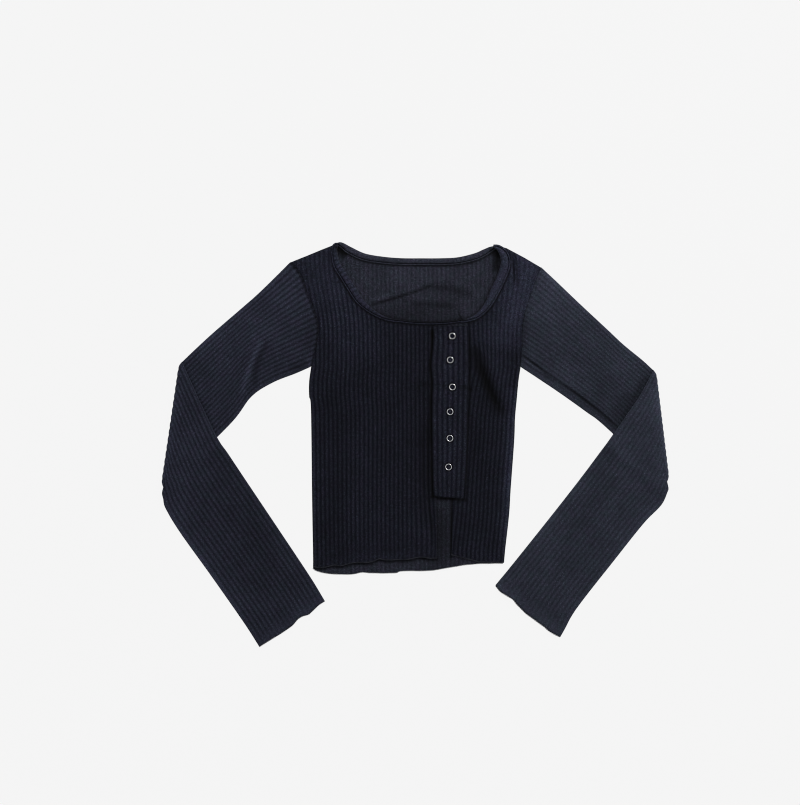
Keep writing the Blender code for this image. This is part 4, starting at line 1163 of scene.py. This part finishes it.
def make_front(name, outline, rib_x, last, strip, hem, band):
    """A front panel, last being its last rib's number, with its wound hem."""
    hem_line = curve(hem, GUIDE_STEP)
    # Lines along which shade is painted: beside the neck band's seam and beside the placket's
    # sewn edge.
    neck_seam = band_edge(band, -1, SEAM_CLEAR)
    strip_edge = curve(STRIP_LEFT, COARSE_GUIDE) - (STRIP_DARK_OUT, 0.0)

    def swayed(number, y):
        x = rib_x(number, y)
        return x + sway(x, y)

    def number(plan):
        x = plan[:, 0]
        for _ in range(SWAY_ROUNDS):
            x = plan[:, 0] - sway(x, plan[:, 1])
        return number_of(rib_x, np.column_stack([x, plan[:, 1]]))

    def under(plan):
        height = FRONT_UNDER + front_rise(plan, outline, strip)
        covered = inside(plan, strip) & (from_edge(plan, strip) > FOLD_COVERED)
        height += np.where(covered, 0.0, over_rows(plan, FOLDS_FRONT, "height"))
        height -= SEAM_DIP * bell(near_seams(plan), SEAM_DIP_REACH)
        return np.maximum(height + hem_flutter(plan, hem, *FRONT_FLUTTER), FRONT_LOWEST)

    def rib(plan):
        clear = smoothstep((from_edge(plan, strip) - STRIP_PLAIN) / STRIP_PLAIN_REACH)
        shown = np.where(inside(plan, strip), 0.0, clear)
        at_hem = smoothstep(distance_to(plan, hem_line) / HEM_RIB_REACH)
        return RIB_HEIGHT * shown * (HEM_RIB + (1 - HEM_RIB) * at_hem)

    def painted_light(plan):
        y = plan[:, 1]
        # Painted shadow on the front beside the placket's sewn edge, fading out at the neck and
        # uneven along its length.
        edge = STRIP_DARK * bell(distance_to(plan, strip_edge), STRIP_DARK_REACH)
        edge *= smoothstep((STRIP_DARK_TOP - y) / STRIP_DARK_FADE)
        uneven = np.sin(y / STRIP_DARK_WAVES[0]) * np.cos(y / STRIP_DARK_WAVES[1])
        edge *= 1 - STRIP_DARK_UNEVEN + STRIP_DARK_UNEVEN * uneven
        # Painted shade beside the neck band's seam, weaker towards the peaks, and along the
        # armhole seams.
        seam = NECK_DARK * bell(distance_to(plan, neck_seam), NECK_DARK_REACH)
        seam *= 1 - NECK_FADE * smoothstep((y - NECK_FADE_START) / NECK_FADE_REACH)
        armhole = ARMHOLE_DARK * bell(near_seams(plan), ARMHOLE_DARK_REACH)
        return (FRONT_LIGHT + over_rows(plan, PAINTED_LIGHT_FRONT + EDGE_LIGHT, "light") + edge + seam
                + armhole * (y > ARMHOLE_FOOT))

    piece, flat, area = cloth_panel(
        name, outline, rib_points(swayed, 0, last, outline), number, under, WALL, rib, painted_light,
        SOFT_FRONT, KNIT)
    edge = curve(hem, EDGE_STEP)
    edging = wound_edge("hem_" + name, np.column_stack([edge, under(edge) + WALL / 2]))


def make_back(covers):
    """The back panel, seen from its inside; covers are the outlines that lie on it."""
    # Lines along which shade is painted on the back: beside the back band's seam, along the inner
    # edges of the front bands, and just below the right front's hem.
    seam = band_edge(BAND_BACK, -1, SEAM_CLEAR)
    scoop = band_edge(BAND_RIGHT, 1, 0.0)
    scoop = scoop[scoop[:, 0] > SCOOP_START]
    side = band_edge(BAND_LEFT, 1, 0.0)
    hem_line = curve(HEM_FRONT_RIGHT, GUIDE_STEP) - (0.0, HEM_DARK_BELOW)

    def under(plan):
        shown = over_rows(plan, FOLDS_BACK, "height") * (plan[:, 1] > NECK_FOOT)
        return np.maximum(shown, 0.0) + hem_flutter(plan, HEM_BACK, *BACK_FLUTTER)

    def rib(plan):
        return np.full(len(plan), BACK_RIB)

    def painted_light(plan):
        # Painted shade beside the neck seam and in the bands' shadow in the neck opening, painted
        # shadow below the right front's hem, and the streaks.
        neck = NECK_DARK * bell(distance_to(plan, seam), NECK_DARK_BACK)
        neck -= bell(distance_to(plan, scoop), SCOOP_DARK_REACH)
        neck -= bell(distance_to(plan, side), SIDE_DARK_REACH)
        hem = HEM_DARK * bell(distance_to(plan, hem_line), HEM_DARK_REACH)
        return over_rows(plan, PAINTED_LIGHT_BACK, "light") + np.where(plan[:, 1] > NECK_FOOT, neck, hem)

    outline = outline_back()
    fill = rib_points(rib_x_back, *BACK_RIBS, outline, step=BACK_STEP)
    hidden = np.zeros(len(fill), bool)
    for cover in covers:
        hidden |= inside(fill, cover) & (from_edge(fill, cover) > HIDDEN_WITHIN)
    sparse = np.arange(len(fill)) % SPARSE == 0
    piece, flat, area = cloth_panel(
        "back", outline, fill[~hidden | sparse], lambda plan: number_of(rib_x_back, plan), under,
        BACK_WALL, rib, painted_light, [], KNIT_INSIDE)
    edge = curve(HEM_BACK, EDGE_STEP)
    edging = wound_edge("hem_back", np.column_stack([edge, under(edge) + BACK_WALL / 2]))


# ---- wound thread -----------------------------------------------------------------------
def wound_edge(name, line):
    """Thread wound tightly over a cloth edge, which makes it wave."""
    along = travelled(line) / travelled(line)[-1]
    turns = int(travelled(line)[-1] / WIND_PITCH)
    share = np.linspace(0, 1, turns * WIND_POINTS)
    middle = np.column_stack([np.interp(share, along, column) for column in line.T])
    outward = np.column_stack([left_normals(middle), np.zeros(len(middle))])
    angle = (share * turns * TAU)[:, None]
    radial = outward * np.cos(angle) + np.array([0.0, 0.0, 1.0]) * np.sin(angle)
    path = middle + radial * WIND_RADIUS
    path[:, 2] = np.maximum(path[:, 2], WIND_THREAD)
    return thread(name, path, radial)


def thread(name, path, radial):
    """A closed tube of thread along a path; radial is a direction across it at each point."""
    ways = unit(np.gradient(path, axis=0))
    other = unit(np.cross(ways, radial))
    across = np.cross(other, ways)
    turn = (np.arange(WIND_SIDES) * TAU / WIND_SIDES)[None, :, None]
    points = path[:, None] + WIND_THREAD * (
        across[:, None] * np.cos(turn) + other[:, None] * np.sin(turn))
    faces = grid_faces(len(path), WIND_SIDES).tolist()
    faces += end_faces(len(path), WIND_SIDES)
    return add_piece(name, points.reshape(-1, 3), faces, {}, THREAD)


def end_faces(rings, size):
    """The faces that close a tube's first and last ring."""
    return [list(range(size))[::-1], list(range((rings - 1) * size, rings * size))]


# ---- neck binding -----------------------------------------------------------------------
def band_profile(width, height):
    """Points round a band: (distance in from the sewn side, height, cross rib, painted shade).

    From the sewn side in: the ledge, the rolled seam, the groove, the band and its underside.
    A narrow band is all roll: its flat part takes what the roll leaves.
    """
    roll = min(SEAM_ROLL, SEAM_ROLL_SHARE * width)
    narrowed = roll / SEAM_ROLL
    rows = [(0.0, 0.0, 0.0, SEAM_DARK), (0.3, 0.5, 0.0, SEAM_DARK)]
    for degrees in SEAM_ROLL_ANGLES:
        angle = math.radians(degrees)
        rise = (SEAM_ROLL_HEIGHT - SEAM_GROOVE) * math.sin(angle) ** SEAM_ROLL_ROUND
        shade = SEAM_ROLL_FOOT if degrees in SEAM_ROLL_FEET else SEAM_ROLL_TOP
        rows.append((SEAM_LEDGE * narrowed + roll / 2 * (1 + math.cos(angle)),
                     SEAM_GROOVE + rise, 0.0, shade))
    start = rows[-1][0] + SEAM_GROOVE_WIDTH * narrowed
    rows.append(((rows[-1][0] + start) / 2, SEAM_GROOVE, 0.0, SEAM_DARK))
    rows.append((start, SEAM_GROOVE, 0.0, SEAM_DARK))
    for share in np.linspace(0.04, 1, BAND_POINTS):
        full = (1 - abs(2 * share - 1) ** BAND_FLAT) ** BAND_ROUND
        floor = SEAM_GROOVE * (1 - share)
        rows.append((start + (width - start) * share, floor + (height - floor) * full, full, 0.0))
    return np.array(rows + [(width * 0.6, 0.0, 0.0, 0.0), (width * 0.3, 0.0, 0.0, 0.0)])


def near_places(places):
    """A function of the plan: the sum of soft spots, a row (x, y, reach, amount) for each."""
    def amount_at(plan):
        total = np.zeros(len(plan))
        for x, y, reach, amount in places:
            total += amount * bell(np.linalg.norm(plan - (x, y), axis=1), reach)
        return total
    return amount_at


def make_band(name, rows, base, lift, ribs, light, hidden, finish):
    """A narrow band sewn round the neck, with ribs across it and a rolled seam beside it.

    lift(plan) is how much higher the band stands, ribs how far its ribs stand out and how
    strongly their crests are painted lighter and their valleys darker, light how much lighter it
    is painted all over, and hidden(plan) how far the painted shade of its seam is lost among the
    ribs beside it.
    """
    line = curve(rows, BAND_STEP)
    plan = line[:, :2]
    along = travelled(plan)
    heights = BAND_HEIGHT - BAND_RIB + lift(plan)
    waves = ribbed(along / BAND_RIB_PITCH)
    seams = 1 - np.minimum(hidden(plan), 1.0)
    turned = BAND_TURNED * smoothstep((BAND_TURNED_WIDTH - line[:, 2]) / 2.0)
    points, notes = [], {"rib": [], "along": [], "painted_light": []}
    for i, normal in enumerate(left_normals(line)):
        profile = band_profile(line[i, 2], heights[i])
        raised = BAND_RIB * ribs * waves[i] * profile[:, 2]
        across = plan[i] + normal * (profile[:, :1] - line[i, 2] / 2)
        points.append(np.column_stack([across, base + profile[:, 1] + raised]))
        # Painted light on the ribs' crests and shade in their valleys, and painted shade on a
        # face that is turned on edge.
        face = (ribs * (waves[i] - BAND_MEAN) + turned[i]) * (profile[:, 2] > 0.2)
        notes["rib"].append(np.full(len(profile), PLAIN_BAND))
        notes["along"].append(profile[:, 0])
        notes["painted_light"].append(light + profile[:, 3] * seams[i] + face)
    size = len(points[0])
    points = np.vstack(points)
    faces = grid_faces(len(line), size).tolist() + end_faces(len(line), size)
    notes = {key: np.concatenate(values) for key, values in notes.items()}
    notes["painted_light"] += over_rows(points[:, :2], PAINTED_LIGHT_BAND, "light")
    piece = add_piece(name + "_knit", points, [face[::-1] for face in faces], notes, finish,
                      name)


# ---- placket ----------------------------------------------------------------------------
def around(place, radius, count):
    """Points on a circle round a place."""
    turn = np.linspace(0, TAU, count, endpoint=False)
    return np.column_stack([place.x + radius * np.cos(turn), place.y + radius * np.sin(turn)])


def make_placket():
    """The double strip under the snaps, pressed flat round each of them, with painted shade round
    each ring.
    """
    outline = even(outline_strip(EDGE_STEP))
    middles = np.array(SNAPS, float)

    def from_snap(plan):
        return np.linalg.norm(plan[:, None] - middles[None], axis=2).min(axis=1)

    def under(plan):
        pressed = PRESSED_RIM * bell(from_snap(plan) - SNAP_PRESS, PRESSED_REACH)
        return STRIP_UNDER - STRIP_SUNK + over_rows(plan, FOLDS_STRIP, "height") + pressed

    def rib(plan):
        gap = from_snap(plan)
        flat = smoothstep((gap - SNAP_OUTER + SNAP_FLAT) / SNAP_FLAT_REACH)
        return RIB_HEIGHT * flat + SNAP_DOME * bell(gap, SNAP_DOME_REACH)

    def painted_light(plan):
        gap = from_snap(plan)
        # Painted shadow round each ring, a painted highlight on the cloth's top in its hole with
        # painted shade round that, and painted shade along the placket's edges.
        ring = SNAP_SHADE * bell(gap - SNAP_OUTER - SNAP_SHADE_OUT, SNAP_SHADE_REACH)
        core = SNAP_CORE_LIGHT * bell(gap, SNAP_CORE_REACH) + SNAP_CORE_DARK * (gap < SNAP_INNER)
        edge = STRIP_EDGE_DARK * bell(from_edge(plan, outline), STRIP_EDGE_REACH)
        return STRIP_LIGHT + ring + core + edge + over_rows(plan, PAINTED_LIGHT_STRIP, "light")

    fill = [rib_points(rib_x_strip, 0, STRIP_RIBS, outline, STRIP_POINTS, STRIP_STEP)]
    fill += [around(place, radius, max(6, int(radius * 5)))
             for place in SNAPS for radius in SNAP_RADII]
    piece, flat, area = cloth_panel(
        "placket", outline, np.vstack(fill), lambda plan: number_of(rib_x_strip, plan), under,
        WALL, rib, painted_light, [], KNIT, STRIP_SPACING)


def make_snap(name, place):
    """An open ring with a rounded face, turned from its profile."""
    middle = (SNAP_OUTER + SNAP_INNER) / 2
    half = (SNAP_OUTER - SNAP_INNER) / 2
    profile = [(SNAP_INNER + SNAP_BEVEL, 0.0), (SNAP_OUTER - SNAP_FOOT, 0.0),
               (SNAP_OUTER, SNAP_BEVEL), (SNAP_OUTER, SNAP_SIDE)]
    for angle in np.radians(np.arange(15, 180, 15)):
        profile.append((middle + half * math.cos(angle),
                        SNAP_SIDE + (SNAP_HEIGHT - SNAP_SIDE) * math.sin(angle) ** SNAP_ROUND))
    profile = np.array(profile + [(SNAP_INNER, SNAP_SIDE), (SNAP_INNER, SNAP_BEVEL)])
    turns = np.arange(SNAP_TURNS)[:, None] * TAU / SNAP_TURNS
    points = np.stack([place.x + profile[:, 0] * np.cos(turns),
                       place.y + profile[:, 0] * np.sin(turns),
                       SNAP_BASE + profile[:, 1] + 0 * turns], axis=2)
    faces = grid_faces(SNAP_TURNS, len(profile), True)[:, ::-1]
    add_piece(name + "_ring", points.reshape(-1, 3), faces, {}, PLATING, name)


# ---- sleeves ----------------------------------------------------------------------------
def round_section(ribs):
    """Round a flattened tube: which layer or edge, and the share along it.

    It gives (kind, share): 0 the upper layer from edge a to b, 1 the rounded edge b,
    2 the lower layer from b back to a, 3 the rounded edge a.
    """
    found = []
    for layer, count in enumerate(ribs):
        found += [(2 * layer, share) for share in np.linspace(0, 1, count + 1)]
        found += [(2 * layer + 1, share) for share in EDGE_SHARES]
    return np.array(found)


def section_form(kinds, width, edge):
    """For each point round a tube: distance from edge a, and height share from 0 to 1."""
    kind, share = kinds[:, 0], kinds[:, 1]
    angle = math.pi * share
    flat = width - 2 * edge
    across = np.select(
        [kind == 0, kind == 1, kind == 2],
        [edge + flat * share, width - edge + edge * np.sin(angle), width - edge - flat * share],
        edge - edge * np.sin(angle))
    level = np.select([kind == 0, kind == 1, kind == 2],
                      [1.0 + 0 * share, 0.5 + 0.5 * np.cos(angle), 0 * share],
                      0.5 - 0.5 * np.cos(angle))
    return across, level


# A ring of a sleeve: its edges a and b, how far it follows the armhole's bow, its crown, how
# far its upper and lower layers are the ones that show, its turn round the fold if it is
# there, whether it is on the forearm, and its distances along the sleeve and from the cuff.
Ring = namedtuple("Ring", "a b bow crown upper lower turn fore along from_end")


def sleeve_rings(stations):
    """Rings along the sleeve: down the upper arm, round the fold and down the forearm."""
    split = [station.where for station in stations].index("fold")

    def between(rows):
        line = curve([((s.a_x + s.b_x) / 2, (s.a_y + s.b_y) / 2, (s.a_x - s.b_x) / 2,
                       (s.a_y - s.b_y) / 2, s.bow, s.crown) for s in rows], SLEEVE_STEP)
        return line, travelled(line[:, :2])

    upper, upper_along = between(stations[:split + 1])
    fore, fore_along = between(stations[split:])
    elbow = upper_along[-1]
    rings = []

    def add(row, upper_share, lower_share, turn, is_fore, along):
        middle, half = row[:2], row[2:4]
        rings.append(Ring(middle + half, middle - half, row[4], max(row[5], 0.0), upper_share,
                          lower_share, turn, is_fore, along, elbow + fore_along[-1] - along))

    for row, along in zip(upper[:-1], upper_along[:-1]):
        faded = UPPER_FADE * math.exp(-(elbow - along) / UPPER_FADE_REACH)
        add(row, 1.0 - faded, 0.0, None, False, along)
    for turn in np.linspace(0, math.pi, FOLD_STEPS + 1):
        add(upper[-1], 0.0, float(smoothstep(turn / FORE_TURN)), float(turn), True, elbow)
    for row, along in zip(fore[1:], fore_along[1:]):
        add(row, 0.0, 1.0, None, True, elbow + along)
    return rings


# What bends a sleeve's rings: the armhole's bow, the ways out of the armhole, out of the fold
# and out of the cuff, and a point on the upper arm's lower edge with the way past that edge.
SleeveForm = namedtuple("SleeveForm", "bow from_hole from_fold from_cuff edge past_edge cuff")


def sleeve_form(stations, armhole, cuff):
    """Works out what bends a sleeve's rings, from its first, last, middle and fold stations."""
    hole = curve(armhole, 2.0)
    bow = hole - (hole[0] + (hole[-1] - hole[0]) * np.linspace(0, 1, len(hole))[:, None])

    def way_on(first, second):
        return unit(np.array([second.a_x + second.b_x - first.a_x - first.b_x,
                              second.a_y + second.b_y - first.a_y - first.b_y]))

    def first_at(where):
        return next(station for station in stations if station.where == where)

    elbow, above = first_at("fold"), first_at("middle")
    from_fold = leftward(unit(np.array([elbow.b_x - elbow.a_x, elbow.b_y - elbow.a_y])))
    if from_fold[0] * elbow.a_x < 0:
        from_fold = -from_fold
    edge = np.array([above.b_x, above.b_y])
    past_edge = leftward(unit(np.array([elbow.b_x, elbow.b_y]) - edge))
    if past_edge[1] > 0:
        past_edge = -past_edge
    return SleeveForm(bow, way_on(*stations[:2]), from_fold, way_on(*stations[-2:]), edge,
                      past_edge, cuff)


def cuff_waves(form, ring, share, length, lower, wall):
    """How far the cuff's uneven edge reaches out in plan, and how far it rises."""
    out = np.interp(share, [wave.share for wave in form.cuff], [wave.out for wave in form.cuff])
    plan = form.from_cuff * (out * bell(ring.from_end, CUFF_OUT_REACH))[:, None]
    flutter = 0.5 + 0.5 * np.sin(length * TAU / CUFF_WAVE + ~lower * CUFF_WAVE_SHIFT)
    rise = bell(ring.from_end, CUFF_RISE_REACH) * flutter * (1.0 if wall else CUFF_RISE)
    down = -1.0 if ring.lower > 0 else 1.0
    return plan, rise * down * np.where(lower, 1.0, CUFF_RISE_UPPER)


def sleeve_ring(form, looks, ring, kinds, wall):
    """One ring of a sleeve's outer face, or of its inner one where wall is over 0.

    It gives the points and their notes.
    """
    width = math.dist(ring.a, ring.b)
    across, level = section_form(kinds, width - 2 * wall, TUBE / 2 - wall * INNER_EDGE)
    across = across + wall
    share = across / width
    lower = kinds[:, 0] >= 2
    plan = ring.a + (ring.b - ring.a) * share[:, None]
    shares = np.linspace(0, 1, len(form.bow))
    plan += ring.bow * np.column_stack([np.interp(share, shares, line) for line in form.bow.T])
    span = np.clip((across - TUBE / 2) / (width - TUBE), 0, 1)
    number = span * np.where(lower, SLEEVE_RIBS_FORE, SLEEVE_RIBS_UPPER)

    plain = smoothstep((across - PLAIN_A) / (PLAIN_A_FORE if ring.fore else PLAIN_A_UPPER))
    plain *= smoothstep((width - across - PLAIN_B) / PLAIN_B_REACH)
    at_cuff = CUFF_RIB + (1 - CUFF_RIB) * smoothstep(ring.from_end / CUFF_RIB_REACH)
    at_hole = smoothstep(ring.along / HOLE_RIB_REACH)
    raised = ribbed(number) * looks.rib * plain * at_cuff * at_hole
    crown = ring.crown * np.sin(np.pi * np.clip(share, 0, 1)) ** CROWN_ROUND
    crease = over_rows(plan, looks.folds, "height") * smoothstep(ring.from_end / CREASE_CLEAR)
    if ring.turn is not None:
        crease = crease * 0
    if wall:
        raised, crease = raised * 0, crease * INNER_CREASE
    sunk = bell(ring.along, HOLE_REACH)
    top = TUBE - wall + (crown + crease) * ring.upper + raised * min(1, ring.upper * 2)
    top -= 0.0 if wall else SLEEVE_DIP * sunk
    bottom = wall - (crown + crease + raised) * ring.lower
    middle = TUBE / 2
    z = middle + np.where(level >= 0.5, top - middle, bottom - middle) * abs(level - 0.5) * 2
    plan -= form.from_hole * (ARMHOLE_OVERLAP * sunk)

    if ring.from_end < CUFF_REACH:
        out, rise = cuff_waves(form, ring, share, share * width, lower, wall)
        plan, z = plan + out, z + rise
    if ring.turn is not None:
        corner = np.clip(np.minimum(across, width - across) / ELBOW_ROUND, 0, 1)
        full = 1 - ELBOW_PINCH * (1 - np.sqrt(1 - (1 - corner) ** 2))
        plan = plan + form.from_fold * ((FOLD_AXIS - z) * math.sin(ring.turn) * full)[:, None]
        z = FOLD_AXIS - (FOLD_AXIS - z) * math.cos(ring.turn)
    elif ring.fore:
        past = (plan - form.edge) @ form.past_edge
        drop = smoothstep((past - DROP_START) / DROP_LENGTH)
        z = 2 * FOLD_AXIS - z - (TUBE + FOLD_GAP) * drop
    z = np.maximum(z, 0.0)

    # Painted light and shade: each sleeve lighter or darker all over and in streaks, with painted
    # shade at the armhole seam and painted light at the cuff.
    painted_light = looks.light + over_rows(plan, looks.fore if ring.fore else looks.upper, "light")
    painted_light += looks.seam * sunk ** 2 + CUFF_LIGHT * bell(ring.from_end, CUFF_LIGHT_REACH)
    soft = over_rows(plan, SOFT_ARMS, "light") + CUFF_SOFT * bell(ring.from_end, CUFF_SOFT_REACH)
    rib = np.where(plain > PLAIN_SHARE, number, PLAIN_EDGE)
    return np.column_stack([plan, z]), (rib, np.full(len(z), ring.along), painted_light, soft)


# The looks of a sleeve: its folds, its streaks of painted light and shade on the upper arm and
# the forearm, how much lighter it is painted all over, the painted shade of its armhole seam, how
# far its ribs stand up, and its finish.
SleeveLooks = namedtuple("SleeveLooks", "folds upper fore light seam rib finish")


def make_sleeve(side, stations, armhole, cuff, looks):
    """A sleeve: one folded tube with an outer and an inner face, joined at its two ends."""
    name = "sleeve_" + side
    rings = sleeve_rings(stations)
    form = sleeve_form(stations, armhole, cuff)
    walls = [(round_section((SLEEVE_RIBS_UPPER * PER_RIB, SLEEVE_RIBS_FORE * PER_RIB)), 0.0),
             (round_section(INNER_POINTS), WALL)]
    points, notes, faces, firsts = [], [], [], []
    for kinds, wall in walls:
        made = [sleeve_ring(form, looks, ring, kinds, wall) for ring in rings]
        first = sum(len(ring) for ring in points)
        points += [ring for ring, _ in made]
        notes += [note for _, note in made]
        firsts.append(first)
        quads = grid_faces(len(rings), len(kinds)) + first
        faces += (quads[:, ::-1] if wall else quads).tolist()
    for number in (0, len(rings) - 1):
        loops = [rim_loop(kinds, first + number * len(kinds))
                 for (kinds, _), first in zip(walls, firsts)]
        faces += [face if number else face[::-1] for face in zip_loops(*loops)]
    notes = {key: np.concatenate([note[i] for note in notes])
             for i, key in enumerate(("rib", "along", "painted_light", "soft"))}
    piece = add_piece(name + "_knit", np.vstack(points), faces, notes, looks.finish,
                      name)

    mouth = points[len(rings) - 1]
    loop = np.vstack([mouth[::4], mouth[:1]])
    loop[:, 2] += np.where(loop[:, 2] > loop[:, 2].mean(), -WALL / 2, WALL / 2)
    edging = wound_edge("cuff_edge_" + side, loop)
    width = max(math.dist(ring.a, ring.b) for ring in rings)
    area = sum(2 * math.dist(one.a, one.b) * (two.along - one.along)
               for one, two in zip(rings, rings[1:]))
    length = rings[-1].along
    length * MM
    min(area, TUBE_SHARE * width * length) * MM ** 2


def rim_loop(kinds, start):
    """(share round the tube, vertex index) for each point of one ring."""
    return [(share, start + i) for i, share in enumerate((kinds[:, 0] + kinds[:, 1] * 0.98) / 4)]


def zip_loops(outer, inner):
    """Triangles between two closed loops of (share round the loop, vertex index)."""
    faces = []
    a, b = 0, 0
    ends = len(outer), len(inner)
    while a < ends[0] or b < ends[1]:
        next_a = outer[a + 1][0] if a + 1 < ends[0] else 1.0
        next_b = inner[b + 1][0] if b + 1 < ends[1] else 1.0
        if b >= ends[1] or (a < ends[0] and next_a <= next_b):
            faces.append((outer[a][1], outer[(a + 1) % ends[0]][1], inner[b % ends[1]][1]))
            a += 1
        else:
            faces.append((outer[a % ends[0]][1], inner[(b + 1) % ends[1]][1], inner[b][1]))
            b += 1
    return faces


# ---- assembly ---------------------------------------------------------------------------
strip = outline_strip(COARSE_GUIDE)
right, left = outline_front_right(), outline_front_left()
make_front("front_right", right, rib_x_right, 34, strip, HEM_FRONT_RIGHT, BAND_RIGHT)
make_front("front_left", left, rib_x_left, 24, strip, HEM_FRONT_LEFT, BAND_LEFT)
make_back([right, left])
make_band("binding_right", BAND_RIGHT, FRONT_UNDER, near_places([(-112, 275, 14, 1.6)]),
          0.9, 0.05, near_places([(-115, 262, 24, 0.85)]), KNIT)
make_band("binding_left", BAND_LEFT, FRONT_UNDER, near_places([(122, 264, 20, 1.8)]),
          0.25, 0.35, near_places([(120, 228, 44, 0.9)]), KNIT)
make_band("binding_back", BAND_BACK, 0.0, near_places([(-109, 280, 8, 1.2), (110, 275, 8, 1.2)]),
          0.3, 0.32, near_places([]), KNIT_INSIDE)
make_placket()
for count, spot in enumerate(SNAPS, 1):
    make_snap("snap_%d" % count, spot)
make_sleeve("right", SLEEVE_RIGHT, ARMHOLE_RIGHT, CUFF_RIGHT, SleeveLooks(
    FOLDS_RIGHT_ARM, PAINTED_LIGHT_RIGHT_ARM, PAINTED_LIGHT_RIGHT_FORE, 0.2, -1.3, 0.62, KNIT_SOFT))
make_sleeve("left", SLEEVE_LEFT, ARMHOLE_LEFT, CUFF_LEFT, SleeveLooks(
    FOLDS_LEFT_ARM, PAINTED_LIGHT_LEFT_ARM, PAINTED_LIGHT_LEFT_FORE, 0.46, -0.3, 0.5, KNIT_FAINT_SHADE))


# ---- studio -----------------------------------------------------------------------------
PIXEL = 1.4                                  # millimetres for each pixel of the photograph
VIEW_MIDDLE = Vector((-21.7, 57.4, 4.0))     # what its middle shows
VIEW_SIZE = 805 * PIXEL
CAMERA_HEIGHT = 3000.0
SENSOR = 36.0
CAMERA_REACH = 50.0                          # metres

BACKDROP = (0.913, 0.913, 0.913, 1.0)
BACKDROP_GLOW = 0.982
SKY = (0.98, 0.99, 1.0, 1.0)
SKY_STRENGTH = 0.45
PIXEL_FILTER = 1.1                           # pixels
FLOOR_HALF = 6.0                             # metres
FLOOR_Z = -0.0004


def place_in_scene(name, data, place=(0, 0, 0)):
    """An object for a mesh, a lamp or a camera, its place in metres."""
    found = bpy.data.objects.new(name, data)
    found.location = place
    bpy.context.scene.collection.objects.link(found)
    return found


def make_floor():
    """A pale sheet that is almost as bright as it can be, so its shadows stay faint."""
    finish, _, _ = new_finish("pale_floor", {
        "Base Color": (0.02, 0.02, 0.02, 1.0), "Roughness": 1.0, "Specular IOR Level": 0.0,
        "Emission Color": BACKDROP, "Emission Strength": BACKDROP_GLOW})
    mesh = bpy.data.meshes.new("floor")
    corners = [(-1, -1), (1, -1), (1, 1), (-1, 1)]
    mesh.from_pydata([(x * FLOOR_HALF, y * FLOOR_HALF, FLOOR_Z) for x, y in corners], [],
                     [(0, 1, 2, 3)])
    mesh.materials.append(finish)
    place_in_scene("floor", mesh)


def make_light(name, place, size, power):
    """A soft square lamp that faces the garment."""
    lamp = bpy.data.lights.new(name, "AREA")
    lamp.size = size
    lamp.energy = power
    light = place_in_scene(name, lamp, place)
    light.rotation_euler = (-Vector(place)).to_track_quat("-Z", "Y").to_euler()


def make_camera():
    """It looks straight down from far above, as the photograph does."""
    camera = bpy.data.cameras.new("camera")
    camera.sensor_width = SENSOR
    camera.lens = SENSOR * CAMERA_HEIGHT / VIEW_SIZE
    camera.clip_end = CAMERA_REACH
    eye = placed([(VIEW_MIDDLE.x, VIEW_MIDDLE.y, VIEW_MIDDLE.z + CAMERA_HEIGHT)])[0]
    bpy.context.scene.camera = place_in_scene("camera", camera, eye)


def make_studio():
    """A pale floor under soft light from above, and the camera."""
    world = bpy.data.worlds.new("studio")
    world.use_nodes = True
    sky = world.node_tree.nodes["Background"]
    sky.inputs["Color"].default_value = SKY
    sky.inputs["Strength"].default_value = SKY_STRENGTH
    bpy.context.scene.world = world
    make_floor()
    make_light("key", (1.2, 1.4, 1.3), 0.8, 26.0)
    make_light("fill", (-1.4, 0.4, 1.9), 1.6, 6.0)
    make_camera()
    bpy.context.scene.view_settings.view_transform = "Standard"
    bpy.context.scene.cycles.filter_width = PIXEL_FILTER


make_studio()
